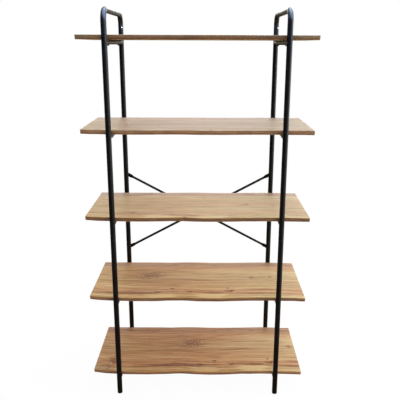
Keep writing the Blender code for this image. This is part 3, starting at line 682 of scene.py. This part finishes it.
    def make(self):
        """Material of the board: figured top and underside, live edges and end grain."""
        self.draw_grain()
        colour = self.add_tints(self.add_knots(self.add_bands(self.heartwood())))
        facing = self.split(self.add("NewGeometry").outputs["Normal"])
        colour = self.wash(colour, self.live_edge(), self.math("ABSOLUTE", facing[2]), 0.80, 0.35)
        colour = self.wash(colour, self.end_grain(), self.math("ABSOLUTE", facing[0]), 0.6, 0.9)
        self.bump(self.math("ADD", self.times(self.streaks, 0.6), self.times(self.pores, 0.4)), 0.00018, 0.40)
        gloss = self.wood.roughness
        return self.finish(
            Base_Color=colour,
            Roughness=self.band(self.streaks, 0.25, 0.75, gloss - 0.05, gloss + 0.07),
            Specular_IOR_Level=self.wood.specular,
        )


def centre(node):
    """Middle of a CAD node's box."""
    low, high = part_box(node)
    return (low + high) / 2


def new_object(name, bm):
    """Object from a bmesh, in the scene."""
    mesh = bpy.data.meshes.new(name)
    bm.to_mesh(mesh)
    bm.free()
    item = bpy.data.objects.new(name, mesh)
    bpy.context.scene.collection.objects.link(item)
    return item


def make_piece(name, bm, material, slot, *nodes):
    """Finished piece from its bmesh. It stands for CAD nodes and rides on the unit's one body."""
    piece = new_object(name, bm)
    piece.data.shade_smooth()
    piece.data.set_sharp_from_angle(angle=SHARP_ANGLE)
    piece.data.materials.append(material)
    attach(piece, "root")
    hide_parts(*nodes)


def move(bm, vector):
    """Move a whole bmesh."""
    bmesh.ops.translate(bm, verts=bm.verts, vec=vector)


def set_in_place(bm, matrix):
    """Turn and move a whole bmesh."""
    bmesh.ops.transform(bm, matrix=matrix, verts=bm.verts)


def close_up(bm):
    """Merge doubled corners and point every face outwards."""
    bmesh.ops.remove_doubles(bm, verts=bm.verts, dist=MERGE_DISTANCE)
    bmesh.ops.recalc_face_normals(bm, faces=bm.faces)


def turned(profile, sides=TURNED_SIDES):
    """Bmesh of a profile of (radius, height) points turned about Z."""
    bm = bmesh.new()
    verts = [bm.verts.new((radius, 0, height)) for radius, height in profile]
    edges = [bm.edges.new(pair) for pair in zip(verts, verts[1:])]
    if profile[0][0] > 0:
        edges.append(bm.edges.new((verts[-1], verts[0])))
    bmesh.ops.spin(
        bm, geom=verts + edges, cent=(0, 0, 0), axis=(0, 0, 1), angle=2 * math.pi, steps=sides,
        use_merge=True,
    )
    close_up(bm)
    return bm


def extrude_ring(bm, ring, vector):
    """New ring of edges carried on from a ring by a vector."""
    made = bmesh.ops.extrude_edge_only(bm, edges=ring)["geom"]
    bmesh.ops.translate(bm, verts=[v for v in made if isinstance(v, bmesh.types.BMVert)], vec=vector)
    return [e for e in made if isinstance(e, bmesh.types.BMEdge)]


def ring_verts(ring):
    """Corners of a ring of edges, each once."""
    return list(dict.fromkeys(vert for edge in ring for vert in edge.verts))


def row_of_rings(sides, axis, count):
    """Bmesh of rings of one metre joined in a row, all still in one place, and each ring's edges."""
    bm = bmesh.new()
    bmesh.ops.create_circle(bm, segments=sides, radius=1.0)
    bmesh.ops.rotate(bm, verts=bm.verts, cent=(0, 0, 0), matrix=Matrix.Rotation(math.pi / 2, 3, axis))
    rings = [bm.edges[:]]
    while len(rings) < count:
        rings.append(extrude_ring(bm, rings[-1], (0, 0, 0)))
    return bm, rings


def bend_ring(bm, ring, cent):
    """Carry a ring round a quarter bend about the X direction."""
    last = bmesh.ops.spin(
        bm, geom=ring_verts(ring) + ring, cent=cent, axis=(1, 0, 0), angle=-math.pi / 2, steps=BEND_STEPS,
        use_merge=False,
    )["geom_last"]
    return [e for e in last if isinstance(e, bmesh.types.BMEdge)]


def arch_bmesh(settings):
    """Bent tube of one side frame, from its front joint over the top to its rear joint."""
    bend = settings.bend_radius
    shoulder = FRAME_HEIGHT - TUBE_RADIUS - bend
    bm = bmesh.new()
    bmesh.ops.create_circle(bm, segments=TUBE_SIDES, radius=TUBE_RADIUS)
    move(bm, (0, FRONT_LEGS_Y, JOINT_HEIGHT))
    ring = extrude_ring(bm, bm.edges[:], (0, 0, shoulder - JOINT_HEIGHT))
    ring = bend_ring(bm, ring, (0, FRONT_LEGS_Y + bend, shoulder))
    ring = extrude_ring(bm, ring, (0, LEG_SPACING_Y - 2 * bend, 0))
    ring = bend_ring(bm, ring, (0, REAR_LEGS_Y - bend, shoulder))
    extrude_ring(bm, ring, (0, 0, JOINT_HEIGHT - shoulder))
    close_up(bm)
    bmesh.ops.solidify(bm, geom=bm.faces[:], thickness=settings.tube_wall)
    return bm


def leg_bmesh(settings, foot, top):
    """Leg tube from its foot up, with a swaged top that slides into the frame above a tapered groove."""
    wall = settings.tube_wall
    bore = TUBE_RADIUS - wall
    swage = bore - CLEARANCE
    groove = JOINT_HEIGHT - settings.swage_shoulder
    return turned([
        (swage - wall, top), (swage - EDGE_BREAK, top), (swage, top - SWAGE_LEAD), (swage, JOINT_HEIGHT),
        (TUBE_RADIUS - EDGE_BREAK, groove + GROOVE_LEAD), (TUBE_RADIUS, groove), (TUBE_RADIUS, foot),
        (bore, foot), (bore, groove - wall), (swage - wall, JOINT_HEIGHT),
    ], TUBE_SIDES)


class SHELVING_OT_side_frames(Operator):
    """Build the two bent tube frames and the four legs that plug into them"""

    bl_idname = "shelving.side_frames"
    bl_label = "Side frames and legs"

    def execute(self, context):
        settings = context.scene.shelving_steel
        material = powder_coat(settings)
        for side in SIDES:
            name = f"upper_frame_{side}"
            bm = arch_bmesh(settings)
            move(bm, (centre(name).x, 0, 0))
            make_piece(f"bent_frame_{side}", bm, material, "steel", name)
        for leg in LEGS:
            name = f"lower_leg_{leg}"
            low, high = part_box(name)
            bm = leg_bmesh(settings, low.z, high.z)
            move(bm, (centre(name).x, centre(name).y, 0))
            make_piece(f"leg_tube_{leg}", bm, material, "steel", name)
        return {"FINISHED"}


def foot_cap_bmesh(settings, radius, top):
    """Cap with a flange under the leg and a hollow, finned plug in its bore."""
    fin = TUBE_RADIUS - settings.tube_wall - CLEARANCE
    core = fin - FIN_DEPTH
    hollow = core - PLUG_WALL
    shoulder = FLANGE_HEIGHT - FLANGE_CHAMFER
    profile = [(0, 0)] + [(radius - inside, height) for inside, height in FLANGE_RIM]
    profile += [(radius, shoulder - FLANGE_CHAMFER), (radius - FLANGE_CHAMFER, shoulder), (core, shoulder)]
    height = FLANGE_HEIGHT + FIN_START
    while height + FIN_ROOM < top:
        profile += [(core, height), (fin, height + FIN_LIP), (core, height + FIN_HEIGHT)]
        height += FIN_PITCH
    profile += [(core - PLUG_CHAMFER, top), (hollow, top), (hollow, FLANGE_HEIGHT), (0, FLANGE_HEIGHT)]
    return turned(profile)


class SHELVING_OT_foot_caps(Operator):
    """Build the four plastic caps that the legs stand on"""

    bl_idname = "shelving.foot_caps"
    bl_label = "Foot caps"

    def execute(self, context):
        material = foot_plastic(context.scene.shelving_fixings)
        for leg in LEGS:
            name = f"foot_cap_{leg}"
            low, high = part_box(name)
            bm = foot_cap_bmesh(context.scene.shelving_steel, (high.x - low.x) / 2, high.z)
            move(bm, (centre(name).x, centre(name).y, low.z))
            make_piece(f"foot_plug_{leg}", bm, material, "foot_plastic", name)
        return {"FINISHED"}


def crossbar_bmesh(settings):
    """Tube between two legs, coped to them, with a rippled weld bead at each end."""
    rise = settings.weld_rise
    radius = (BAR_HIGH.x - BAR_LOW.x) / 2 - rise
    reach = TUBE_RADIUS + WELD_GAP
    outside = [(radius + high * rise, back * settings.weld_run) for high, back in WELD_PROFILE]
    stations = [(-1, wide, back) for wide, back in outside]
    stations += [(1, wide, back) for wide, back in reversed(outside)]
    stations += [(end, radius - BAR_WALL, 0.0) for end in (1, -1)]
    bm, rings = row_of_rings(BAR_SIDES, "X", len(stations))
    for (end, wide, back), ring in zip(stations, rings):
        bead = max(0.0, min(1.0, (wide - radius) / rise)) if back > 0 else 0.0
        for vert in ring_verts(ring):
            angle = math.atan2(vert.co.z, vert.co.x)
            ripple = 1 + RIPPLE_SHARE * bead * math.sin(settings.weld_ripples * angle)
            size = radius + (wide - radius) * ripple
            across = size * math.cos(angle)
            sunk = math.sqrt(max(0.0, reach * reach - across * across))
            vert.co = (across, end * (LEG_SPACING_Y / 2 - sunk - back), size * math.sin(angle))
    bmesh.ops.bridge_loops(bm, edges=rings[0] + rings[-1])
    close_up(bm)
    return bm


class SHELVING_OT_crossbars(Operator):
    """Build the ten welded crossbars that carry the boards"""

    bl_idname = "shelving.crossbars"
    bl_label = "Crossbars"

    def execute(self, context):
        material = bpy.data.materials["black_powder_coat"]
        for level in LEVELS:
            for side in SIDES:
                name = f"crossbar_{level}_{side}"
                bm = crossbar_bmesh(context.scene.shelving_steel)
                move(bm, centre(name))
                make_piece(f"welded_{name}", bm, material, "steel", name)
        return {"FINISHED"}


def smooth_share(table, place):
    """Value of a table at a place, on a smooth curve through its points."""
    index = 0
    while index < len(table) - 2 and place > table[index + 1][0]:
        index += 1
    before = table[max(index - 1, 0)]
    start = table[index]
    end = table[index + 1]
    after = table[min(index + 2, len(table) - 1)]
    span = end[0] - start[0]
    run = (place - start[0]) / span
    leave = (end[1] - before[1]) / (end[0] - before[0]) * span
    arrive = (after[1] - start[1]) / (after[0] - start[0]) * span
    return (
        start[1] * (2 * run**3 - 3 * run**2 + 1)
        + leave * (run**3 - 2 * run**2 + run)
        + end[1] * (3 * run**2 - 2 * run**3)
        + arrive * (run**3 - run**2)
    )


def edge_reach(settings, table, along):
    """How far a live edge stands from the board's middle line."""
    return settings.board_depth / 2 + settings.edge_wave * smooth_share(table, along)


def board_bmesh(settings, level):
    """Board with live edges front and back, and how far each corner is from them."""
    bm = bmesh.new()
    bmesh.ops.create_grid(bm, x_segments=BOARD_STATIONS, y_segments=BOARD_ROWS, size=1.0)
    made = bmesh.ops.extrude_face_region(bm, geom=bm.faces[:])["geom"]
    bmesh.ops.translate(bm, verts=[v for v in made if isinstance(v, bmesh.types.BMVert)], vec=(0, 0, 1))
    last = len(EDGE_SECTION_SHARES) - 1
    uprights = [e for e in bm.edges if abs(e.verts[0].co.z - e.verts[1].co.z) > 0.5]
    bmesh.ops.subdivide_edges(bm, edges=uprights, cuts=last - 1, use_grid_fill=True)
    half = BOARD_LENGTH / 2
    for vert in bm.verts:
        along, across, up = vert.co
        height, slope = EDGE_SECTION_SHARES[round(up * last)]
        # The slope is uneven along the board, as if cut by hand, but not at the arrises
        change = math.sin(9.0 * along + level) * math.sin(23.0 * along + 2.0 * level)
        uneven = 1 - SLOPE_CHANGE + SLOPE_CHANGE * change
        inset = settings.edge_slope * slope * (uneven if 0 < height < ARRIS_SHARE else 1.0)
        front = -(edge_reach(settings, FRONT_EDGE_SHARES, along) - inset)
        rear = edge_reach(settings, BACK_EDGE_SHARES, along) - inset
        vert.co = (along * half, front + (rear - front) * (across + 1) / 2, (height - 1) * BOARD_THICKNESS)
    bmesh.ops.recalc_face_normals(bm, faces=bm.faces)
    sawn = [
        e for e in bm.edges
        if len(e.link_faces) == 2 and e.calc_face_angle(0) > SAWN_ANGLE
        and all(abs(abs(v.co.x) - half) < MERGE_DISTANCE for v in e.verts)
    ]
    bmesh.ops.bevel(
        bm, geom=sawn, offset=settings.end_bevel, segments=3, profile=0.5, affect="EDGES", material=-1,
        clamp_overlap=True,
    )
    from_front = bm.verts.layers.float.new("from_front")
    from_rear = bm.verts.layers.float.new("from_rear")
    for vert in bm.verts:
        along = max(-1.0, min(1.0, vert.co.x / half))
        vert[from_front] = max(0.0, edge_reach(settings, FRONT_EDGE_SHARES, along) + vert.co.y)
        vert[from_rear] = max(0.0, edge_reach(settings, BACK_EDGE_SHARES, along) - vert.co.y)
    return bm


class SHELVING_OT_boards(Operator):
    """Build the five live-edge boards, each with its own grain"""

    bl_idname = "shelving.boards"
    bl_label = "Boards"

    def execute(self, context):
        settings = context.scene.shelving_wood
        for level in LEVELS:
            name = f"shelf_board_{level}"
            bm = board_bmesh(settings, level)
            move(bm, (0, MIDDLE_Y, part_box(name)[1].z))
            make_piece(f"live_edge_board_{level}", bm, Acacia(settings, level).make(), "wood", name)
        return {"FINISHED"}


def cut_recess(bm, width, length, depth, crown):
    """Cross recess cut into a screw head, whose crown points down and lies at the height given."""
    blank = new_object("screw_blank", bm)
    cutters = []
    for turn in (0, math.pi / 2):
        bar = bmesh.new()
        bmesh.ops.create_cube(bar, size=1.0)
        for vert in bar.verts:
            x, y, z = vert.co
            taper = RECESS_TAPER if z > 0 else 1.0
            vert.co = (x * length * taper, y * width, crown + z * 2 * depth)
        set_in_place(bar, Matrix.Rotation(turn, 4, "Z"))
        cutter = new_object("recess_bar", bar)
        boolean = blank.modifiers.new("Recess", "BOOLEAN")
        boolean.operation = "DIFFERENCE"
        boolean.solver = "EXACT"
        boolean.object = cutter
        cutters.append(cutter)
    cut = bmesh.new()
    cut.from_object(blank, bpy.context.evaluated_depsgraph_get())
    for item in (blank, *cutters):
        bpy.data.meshes.remove(item.data)
    return cut


def thread(radius, depth, pitch, start, end):
    """Profile points of a thread between two heights."""
    points = []
    height = start
    while height + pitch <= end:
        points += [(radius, height + THREAD_CREST * pitch), (radius - depth, height + THREAD_ROOT * pitch)]
        height += pitch
    return points


def screw_bmesh(node, size):
    """Pan-head screw as long and as wide as a CAD node, along +Z with its head below zero."""
    low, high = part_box(node)
    extents = sorted(high - low)
    head = extents[1] / 2
    length = extents[2] - size.head_height
    shank = size.shank
    crown = [(share * head, -drop * size.head_height) for share, drop in PAN_HEAD]
    body = thread(shank, THREAD_DEPTH * shank, size.pitch, size.pitch, length - size.tip)
    point = [(POINT_RADIUS * shank, length - size.tip), (0, length)]
    bm = turned(crown + [(shank, 0)] + body + point, SCREW_SIDES)
    return cut_recess(
        bm, RECESS_WIDTH * head, RECESS_LENGTH * head, RECESS_DEPTH * size.head_height, -size.head_height
    )


class SHELVING_OT_board_screws(Operator):
    """Build the twenty screws that hold the boards down through the crossbars"""

    bl_idname = "shelving.board_screws"
    bl_label = "Board screws"

    def execute(self, context):
        material = black_screw(context.scene.shelving_fixings)
        shape = screw_bmesh("board_screw_1_front_left", BOARD_SCREW)
        # Each screw came to rest with its recess at another angle
        turns = dict(zip(LEGS, (0.4, 0.0, 1.3, 0.9)))
        for level in LEVELS:
            for leg in LEGS:
                name = f"board_screw_{level}_{leg}"
                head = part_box(name)[0].z + BOARD_SCREW.head_height
                place = Matrix.Translation((centre(name).x, centre(name).y, head))
                bm = shape.copy()
                set_in_place(bm, place @ Matrix.Rotation(0.7 * level + turns[leg], 4, "Z"))
                make_piece(f"pan_head_screw_{level}_{leg}", bm, material, "black_screw", name)
        shape.free()
        return {"FINISHED"}


def rod_ring(ring, along, half_width, half_thickness, shift, flatness):
    """Shape a ring of a rod, from round to a flat with rounded edges."""
    power = 1 - flatness / 2
    for vert in ring_verts(ring):
        angle = math.atan2(vert.co.z, vert.co.y)
        up = math.sin(angle)
        out = math.cos(angle)
        vert.co = (
            along,
            shift + half_thickness * math.copysign(abs(out) ** power, out),
            half_width * math.copysign(abs(up) ** power, up),
        )


def rod_bmesh(length, shift):
    """Round rod along X with flattened ends and a flattened middle, which stands off by a shift."""
    half = length / 2
    stations = []
    for step in range(ROD_STEPS, -1, -1):
        angle = math.pi / 2 * (step + 0.25) / (ROD_STEPS + 0.25)
        reach = FLAT_WIDTH / 2 * math.sin(angle)
        stations.append((half + reach, FLAT_WIDTH / 2 * math.cos(angle), FLAT_THICKNESS / 2, 0, 1.0))
    stations.append((half, FLAT_WIDTH / 2, FLAT_THICKNESS / 2, 0, 1.0))
    for start, to_round, moved in ((half - END_FLAT, True, 0.0), (MIDDLE_FLAT + FLAT_TAPER, False, shift)):
        for step in range(ROD_STEPS + 1):
            share = step / ROD_STEPS
            eased = share * share * (3 - 2 * share)
            flatness = 1 - eased if to_round else eased
            rounded = ROD_DIAMETER * (1 - flatness)
            stations.append((
                start - FLAT_TAPER * share,
                (FLAT_WIDTH * flatness + rounded) / 2,
                (FLAT_THICKNESS * flatness + rounded) / 2,
                moved * flatness,
                flatness,
            ))
    stations += [(-along, *section) for along, *section in reversed(stations)]
    bm, rings = row_of_rings(ROD_SIDES, "Y", len(stations))
    for station, ring in zip(stations, rings):
        rod_ring(ring, *station)
    bmesh.ops.holes_fill(bm, edges=rings[0] + rings[-1], sides=0)
    close_up(bm)
    return bm


class SHELVING_OT_braces(Operator):
    """Build the two crossed brace rods behind the rear legs"""

    bl_idname = "shelving.braces"
    bl_label = "Crossed brace"

    def execute(self, context):
        material = bpy.data.materials["black_powder_coat"]
        low_left = centre("brace_screw_lower_left")
        high_left = centre("brace_screw_upper_left")
        span = centre("brace_screw_lower_right").x - low_left.x
        rise = high_left.z - low_left.z
        slope = math.atan2(rise, span)
        plane = REAR_LEGS_Y + TUBE_RADIUS + CLEARANCE + FLAT_THICKNESS / 2
        place = Matrix.Translation((0, plane, (low_left.z + high_left.z) / 2))
        stand_off = (FLAT_THICKNESS + CLEARANCE) / 2
        for hand, turn, shift in (("right", -slope, -stand_off), ("left", slope, stand_off)):
            bm = rod_bmesh(math.hypot(span, rise), shift)
            set_in_place(bm, place @ Matrix.Rotation(turn, 4, "Y"))
            make_piece(f"flattened_rod_rising_{hand}", bm, material, "steel", f"brace_rising_{hand}")
        return {"FINISHED"}


def nut_bmesh(corner, depth):
    """Hexagonal nut along Z, turned and then cut to its six flats. Corner is its radius at a corner."""
    upper = [
        (NUT_MOUTH, depth / 2), (NUT_LAND, depth / 2), (NUT_FACE * corner, depth / 2),
        (corner, NUT_SHOULDER * depth),
    ]
    lower = [(radius, -height) for radius, height in reversed(upper)]
    bore = [(NUT_BORE, -NUT_THREAD * depth), (NUT_BORE, NUT_THREAD * depth)]
    bm = turned(upper + lower + bore, NUT_SIDES)
    flat = corner * math.cos(math.pi / 6)
    for number in range(6):
        angle = math.pi / 3 * (number + 0.5)
        away = Vector((math.cos(angle), math.sin(angle), 0))
        for vert in bm.verts:
            past = vert.co.dot(away) - flat
            if past > 0:
                vert.co -= away * past
    return bm


class SHELVING_OT_brace_fixings(Operator):
    """Build the brace's four end screws and the bolt and nut at its crossing"""

    bl_idname = "shelving.brace_fixings"
    bl_label = "Brace fixings"

    def execute(self, context):
        material = bpy.data.materials["blackened_screw"]
        forward = Matrix.Rotation(math.pi / 2, 4, "X")

        def head_place(node, size):
            """Place of a screw that goes forwards from its head's rear face."""
            return Matrix.Translation((centre(node).x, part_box(node)[1].y - size.head_height, centre(node).z))

        shape = screw_bmesh("brace_screw_lower_left", ROD_SCREW)
        for row in ("upper", "lower"):
            for side, turn in zip(SIDES, (0.5, 1.3)):
                name = f"brace_screw_{row}_{side}"
                bm = shape.copy()
                set_in_place(bm, head_place(name, ROD_SCREW) @ forward @ Matrix.Rotation(turn, 4, "Z"))
                make_piece(f"rod_screw_{row}_{side}", bm, material, "black_screw", name)
        shape.free()

        bolt = screw_bmesh("brace_centre_bolt", CROSSING_BOLT)
        set_in_place(bolt, head_place("brace_centre_bolt", CROSSING_BOLT) @ forward)
        make_piece("crossing_bolt", bolt, material, "black_screw", "brace_centre_bolt")

        low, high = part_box("brace_centre_nut")
        nut = nut_bmesh(max(high.x - low.x, high.z - low.z) / 2, high.y - low.y)
        set_in_place(nut, Matrix.Translation(centre("brace_centre_nut")) @ forward)
        make_piece("crossing_nut", nut, material, "black_screw", "brace_centre_nut")
        return {"FINISHED"}


class SHELVING_OT_strap_screws(Operator):
    """Build the four small screws in the rear legs that a wall strap would use"""

    bl_idname = "shelving.strap_screws"
    bl_label = "Strap screws"

    def execute(self, context):
        zinc = zinc_screw(context.scene.shelving_fixings)
        black = bpy.data.materials["blackened_screw"]
        reach = TUBE_RADIUS + CLEARANCE
        for row, material, slot, turn in (
            ("upper", zinc, "zinc_screw", STRAP_SCREW_TURN), ("lower", black, "black_screw", 0.0),
        ):
            turned_in = Matrix.Rotation(turn, 4, "Z") @ Matrix.Rotation(-math.pi / 2, 4, "X")
            for side in SIDES:
                name = f"strap_screw_{row}_{side}"
                across = centre(f"upper_frame_{side}").x + reach * math.sin(turn)
                back = REAR_LEGS_Y - reach * math.cos(turn)
                bm = cut_recess(turned(STRAP_SCREW_PROFILE, SCREW_SIDES), **STRAP_SCREW_RECESS)
                set_in_place(bm, Matrix.Translation((across, back, centre(name).z)) @ turned_in)
                make_piece(f"strap_point_{row}_{side}", bm, material, slot, name)
        return {"FINISHED"}


def make_world(settings):
    """White room: it lights the unit from behind, from the right and from above, and is dark in front of it
    and to its left. The camera sees it white all round."""
    world = bpy.data.worlds.new("white_room")
    world.use_nodes = True
    room = Nodes(world.node_tree)
    camera, mirrored = room.rays()
    x, y, z = room.split(room.place("Generated"))
    behind = room.band(y, 0.20, 0.75)
    right = room.band(x, 0.05, 0.80)
    above = room.band(z, 0.30, 0.90, 0.0, 0.8)
    white = room.largest(behind, right, above)
    lit = room.times(room.band(white, 0.0, 1.0, settings.dark_side, 1.0), settings.room_light)
    shown = room.largest(room.times(behind, room.band(z, -0.06, 0.06)), right, above)
    strength = room.band(mirrored, 0.0, 1.0, lit, 1.0)
    strength = room.band(camera, 0.0, 1.0, strength, 1.0)
    white_share = room.largest(shown, room.math("SUBTRACT", 1.0, mirrored), camera)
    dim = room.blend(behind, settings.dusk, settings.floor_mirrored)
    background = room.tree.nodes["Background"]
    room.put(background.inputs["Strength"], strength)
    room.put(background.inputs["Color"], room.blend(white_share, dim, (1.0, 1.0, 1.0)))
    bpy.context.scene.world = world


def make_floor(settings):
    """White floor that keeps a faint shadow of the unit and fades into the white room."""
    bm = bmesh.new()
    bmesh.ops.create_grid(bm, x_segments=1, y_segments=1, size=FLOOR_HALF_SIZE)
    floor = new_object("floor", bm)
    paint = Finish("white_floor")
    floor.data.materials.append(
        paint.finish(Base_Color=settings.floor, Roughness=0.9, Specular_IOR_Level=0.0)
    )
    camera, mirrored = paint.rays()
    x, y = paint.split(paint.place())[:2]
    white = paint.largest(paint.band(x, 0.4, 2.2), camera)
    glow = paint.add("Emission", Color=paint.blend(white, settings.floor_mirrored, (1.0, 1.0, 1.0)))
    seen = paint.largest(camera, mirrored)
    mix = paint.add("MixShader")
    for socket, source in zip(mix.inputs, (
        paint.times(seen, paint.band(paint.distance(x, y), 1.0, 3.2, 0.97, 1.0)),
        paint.shader.outputs[0],
        glow.outputs[0],
    )):
        paint.put(socket, source)
    paint.put(paint.tree.nodes["Material Output"].inputs["Surface"], mix.outputs[0])


def make_lamp(name, place, width, height, colour, power, target=UNIT_MIDDLE):
    """Softbox at a place, turned to a target, and returned as an object."""
    lamp = bpy.data.lights.new(name, "AREA")
    lamp.shape = "RECTANGLE"
    lamp.size = width
    lamp.size_y = height
    lamp.energy = power
    lamp.color = colour
    item = bpy.data.objects.new(name, lamp)
    item.location = place
    item.rotation_euler = (Vector(target) - Vector(place)).to_track_quat("-Z", "Y").to_euler()
    bpy.context.scene.collection.objects.link(item)
    return item


def make_camera(settings):
    """Camera at the photograph's viewing angle."""
    lens = bpy.data.cameras.new("camera")
    lens.sensor_width = 36.0
    lens.lens = settings.focal_length
    lens.shift_x = settings.shift_x
    lens.shift_y = settings.shift_y
    lens.dof.use_dof = False
    camera = bpy.data.objects.new("camera", lens)
    bpy.context.scene.collection.objects.link(camera)
    tilt = Matrix.Rotation(math.pi / 2 - settings.camera_pitch, 4, "X")
    roll = Matrix.Rotation(settings.camera_roll, 4, "Z")
    camera.matrix_world = Matrix.Translation(settings.camera_place) @ tilt @ roll
    bpy.context.scene.camera = camera


class SHELVING_OT_stage(Operator):
    """Set the camera, the softboxes, the white room and the floor"""

    bl_idname = "shelving.stage"
    bl_label = "Stage"

    def execute(self, context):
        settings = context.scene.shelving_stage
        context.scene.view_settings.view_transform = "Standard"
        make_world(settings)
        make_floor(settings)
        make_lamp("overhead_softbox", *OVERHEAD_SOFTBOX, settings.overhead_power)
        make_lamp("side_softbox", *SIDE_SOFTBOX, settings.side_power)
        make_lamp("rear_softbox", *REAR_SOFTBOX, settings.rear_power)
        for side, x in (("left", ARCH_LOW.x), ("right", -ARCH_LOW.x)):
            place, target = (x + 0.10, -0.29, 2.00), (x, -0.22, 1.70)
            power = settings.strip_power
            strip = make_lamp(f"arch_strip_{side}", place, *STRIP_SIZE, STRIP_COLOUR, power, target)
            strip.visible_diffuse = False
        make_camera(settings)
        return {"FINISHED"}


class SHELVING_PT_panel(Panel):
    """Sizes, colours and building steps of the shelving unit"""

    bl_idname = "SHELVING_PT_panel"
    bl_label = "Shelving unit"
    bl_space_type = "VIEW_3D"
    bl_region_type = "UI"
    bl_category = "Shelving"

    def draw(self, context):
        for label, group in (
            ("Steel", context.scene.shelving_steel), ("Boards", context.scene.shelving_wood),
            ("Fixings", context.scene.shelving_fixings), ("Stage", context.scene.shelving_stage),
        ):
            box = self.layout.box()
            box.label(text=label)
            for name in group.__annotations__:
                box.prop(group, name)
        for step in STEPS:
            self.layout.operator(step.bl_idname)


SETTINGS = {
    "shelving_steel": SteelSettings,
    "shelving_wood": WoodSettings,
    "shelving_fixings": FixingSettings,
    "shelving_stage": StageSettings,
}
STEPS = (
    SHELVING_OT_side_frames,
    SHELVING_OT_foot_caps,
    SHELVING_OT_crossbars,
    SHELVING_OT_boards,
    SHELVING_OT_board_screws,
    SHELVING_OT_braces,
    SHELVING_OT_brace_fixings,
    SHELVING_OT_strap_screws,
    SHELVING_OT_stage,
)
CLASSES = (*SETTINGS.values(), *STEPS, SHELVING_PT_panel)


def register():
    for item in CLASSES:
        bpy.utils.register_class(item)
    for name, group in SETTINGS.items():
        setattr(bpy.types.Scene, name, PointerProperty(type=group))


def unregister():
    for name in SETTINGS:
        delattr(bpy.types.Scene, name)
    for item in reversed(CLASSES):
        bpy.utils.unregister_class(item)


def main():
    register()
    bpy.ops.shelving.side_frames()
    bpy.ops.shelving.foot_caps()
    bpy.ops.shelving.crossbars()
    bpy.ops.shelving.boards()
    bpy.ops.shelving.board_screws()
    bpy.ops.shelving.braces()
    bpy.ops.shelving.brace_fixings()
    bpy.ops.shelving.strap_screws()
    bpy.ops.shelving.stage()


if __name__ == "__main__":
    main()
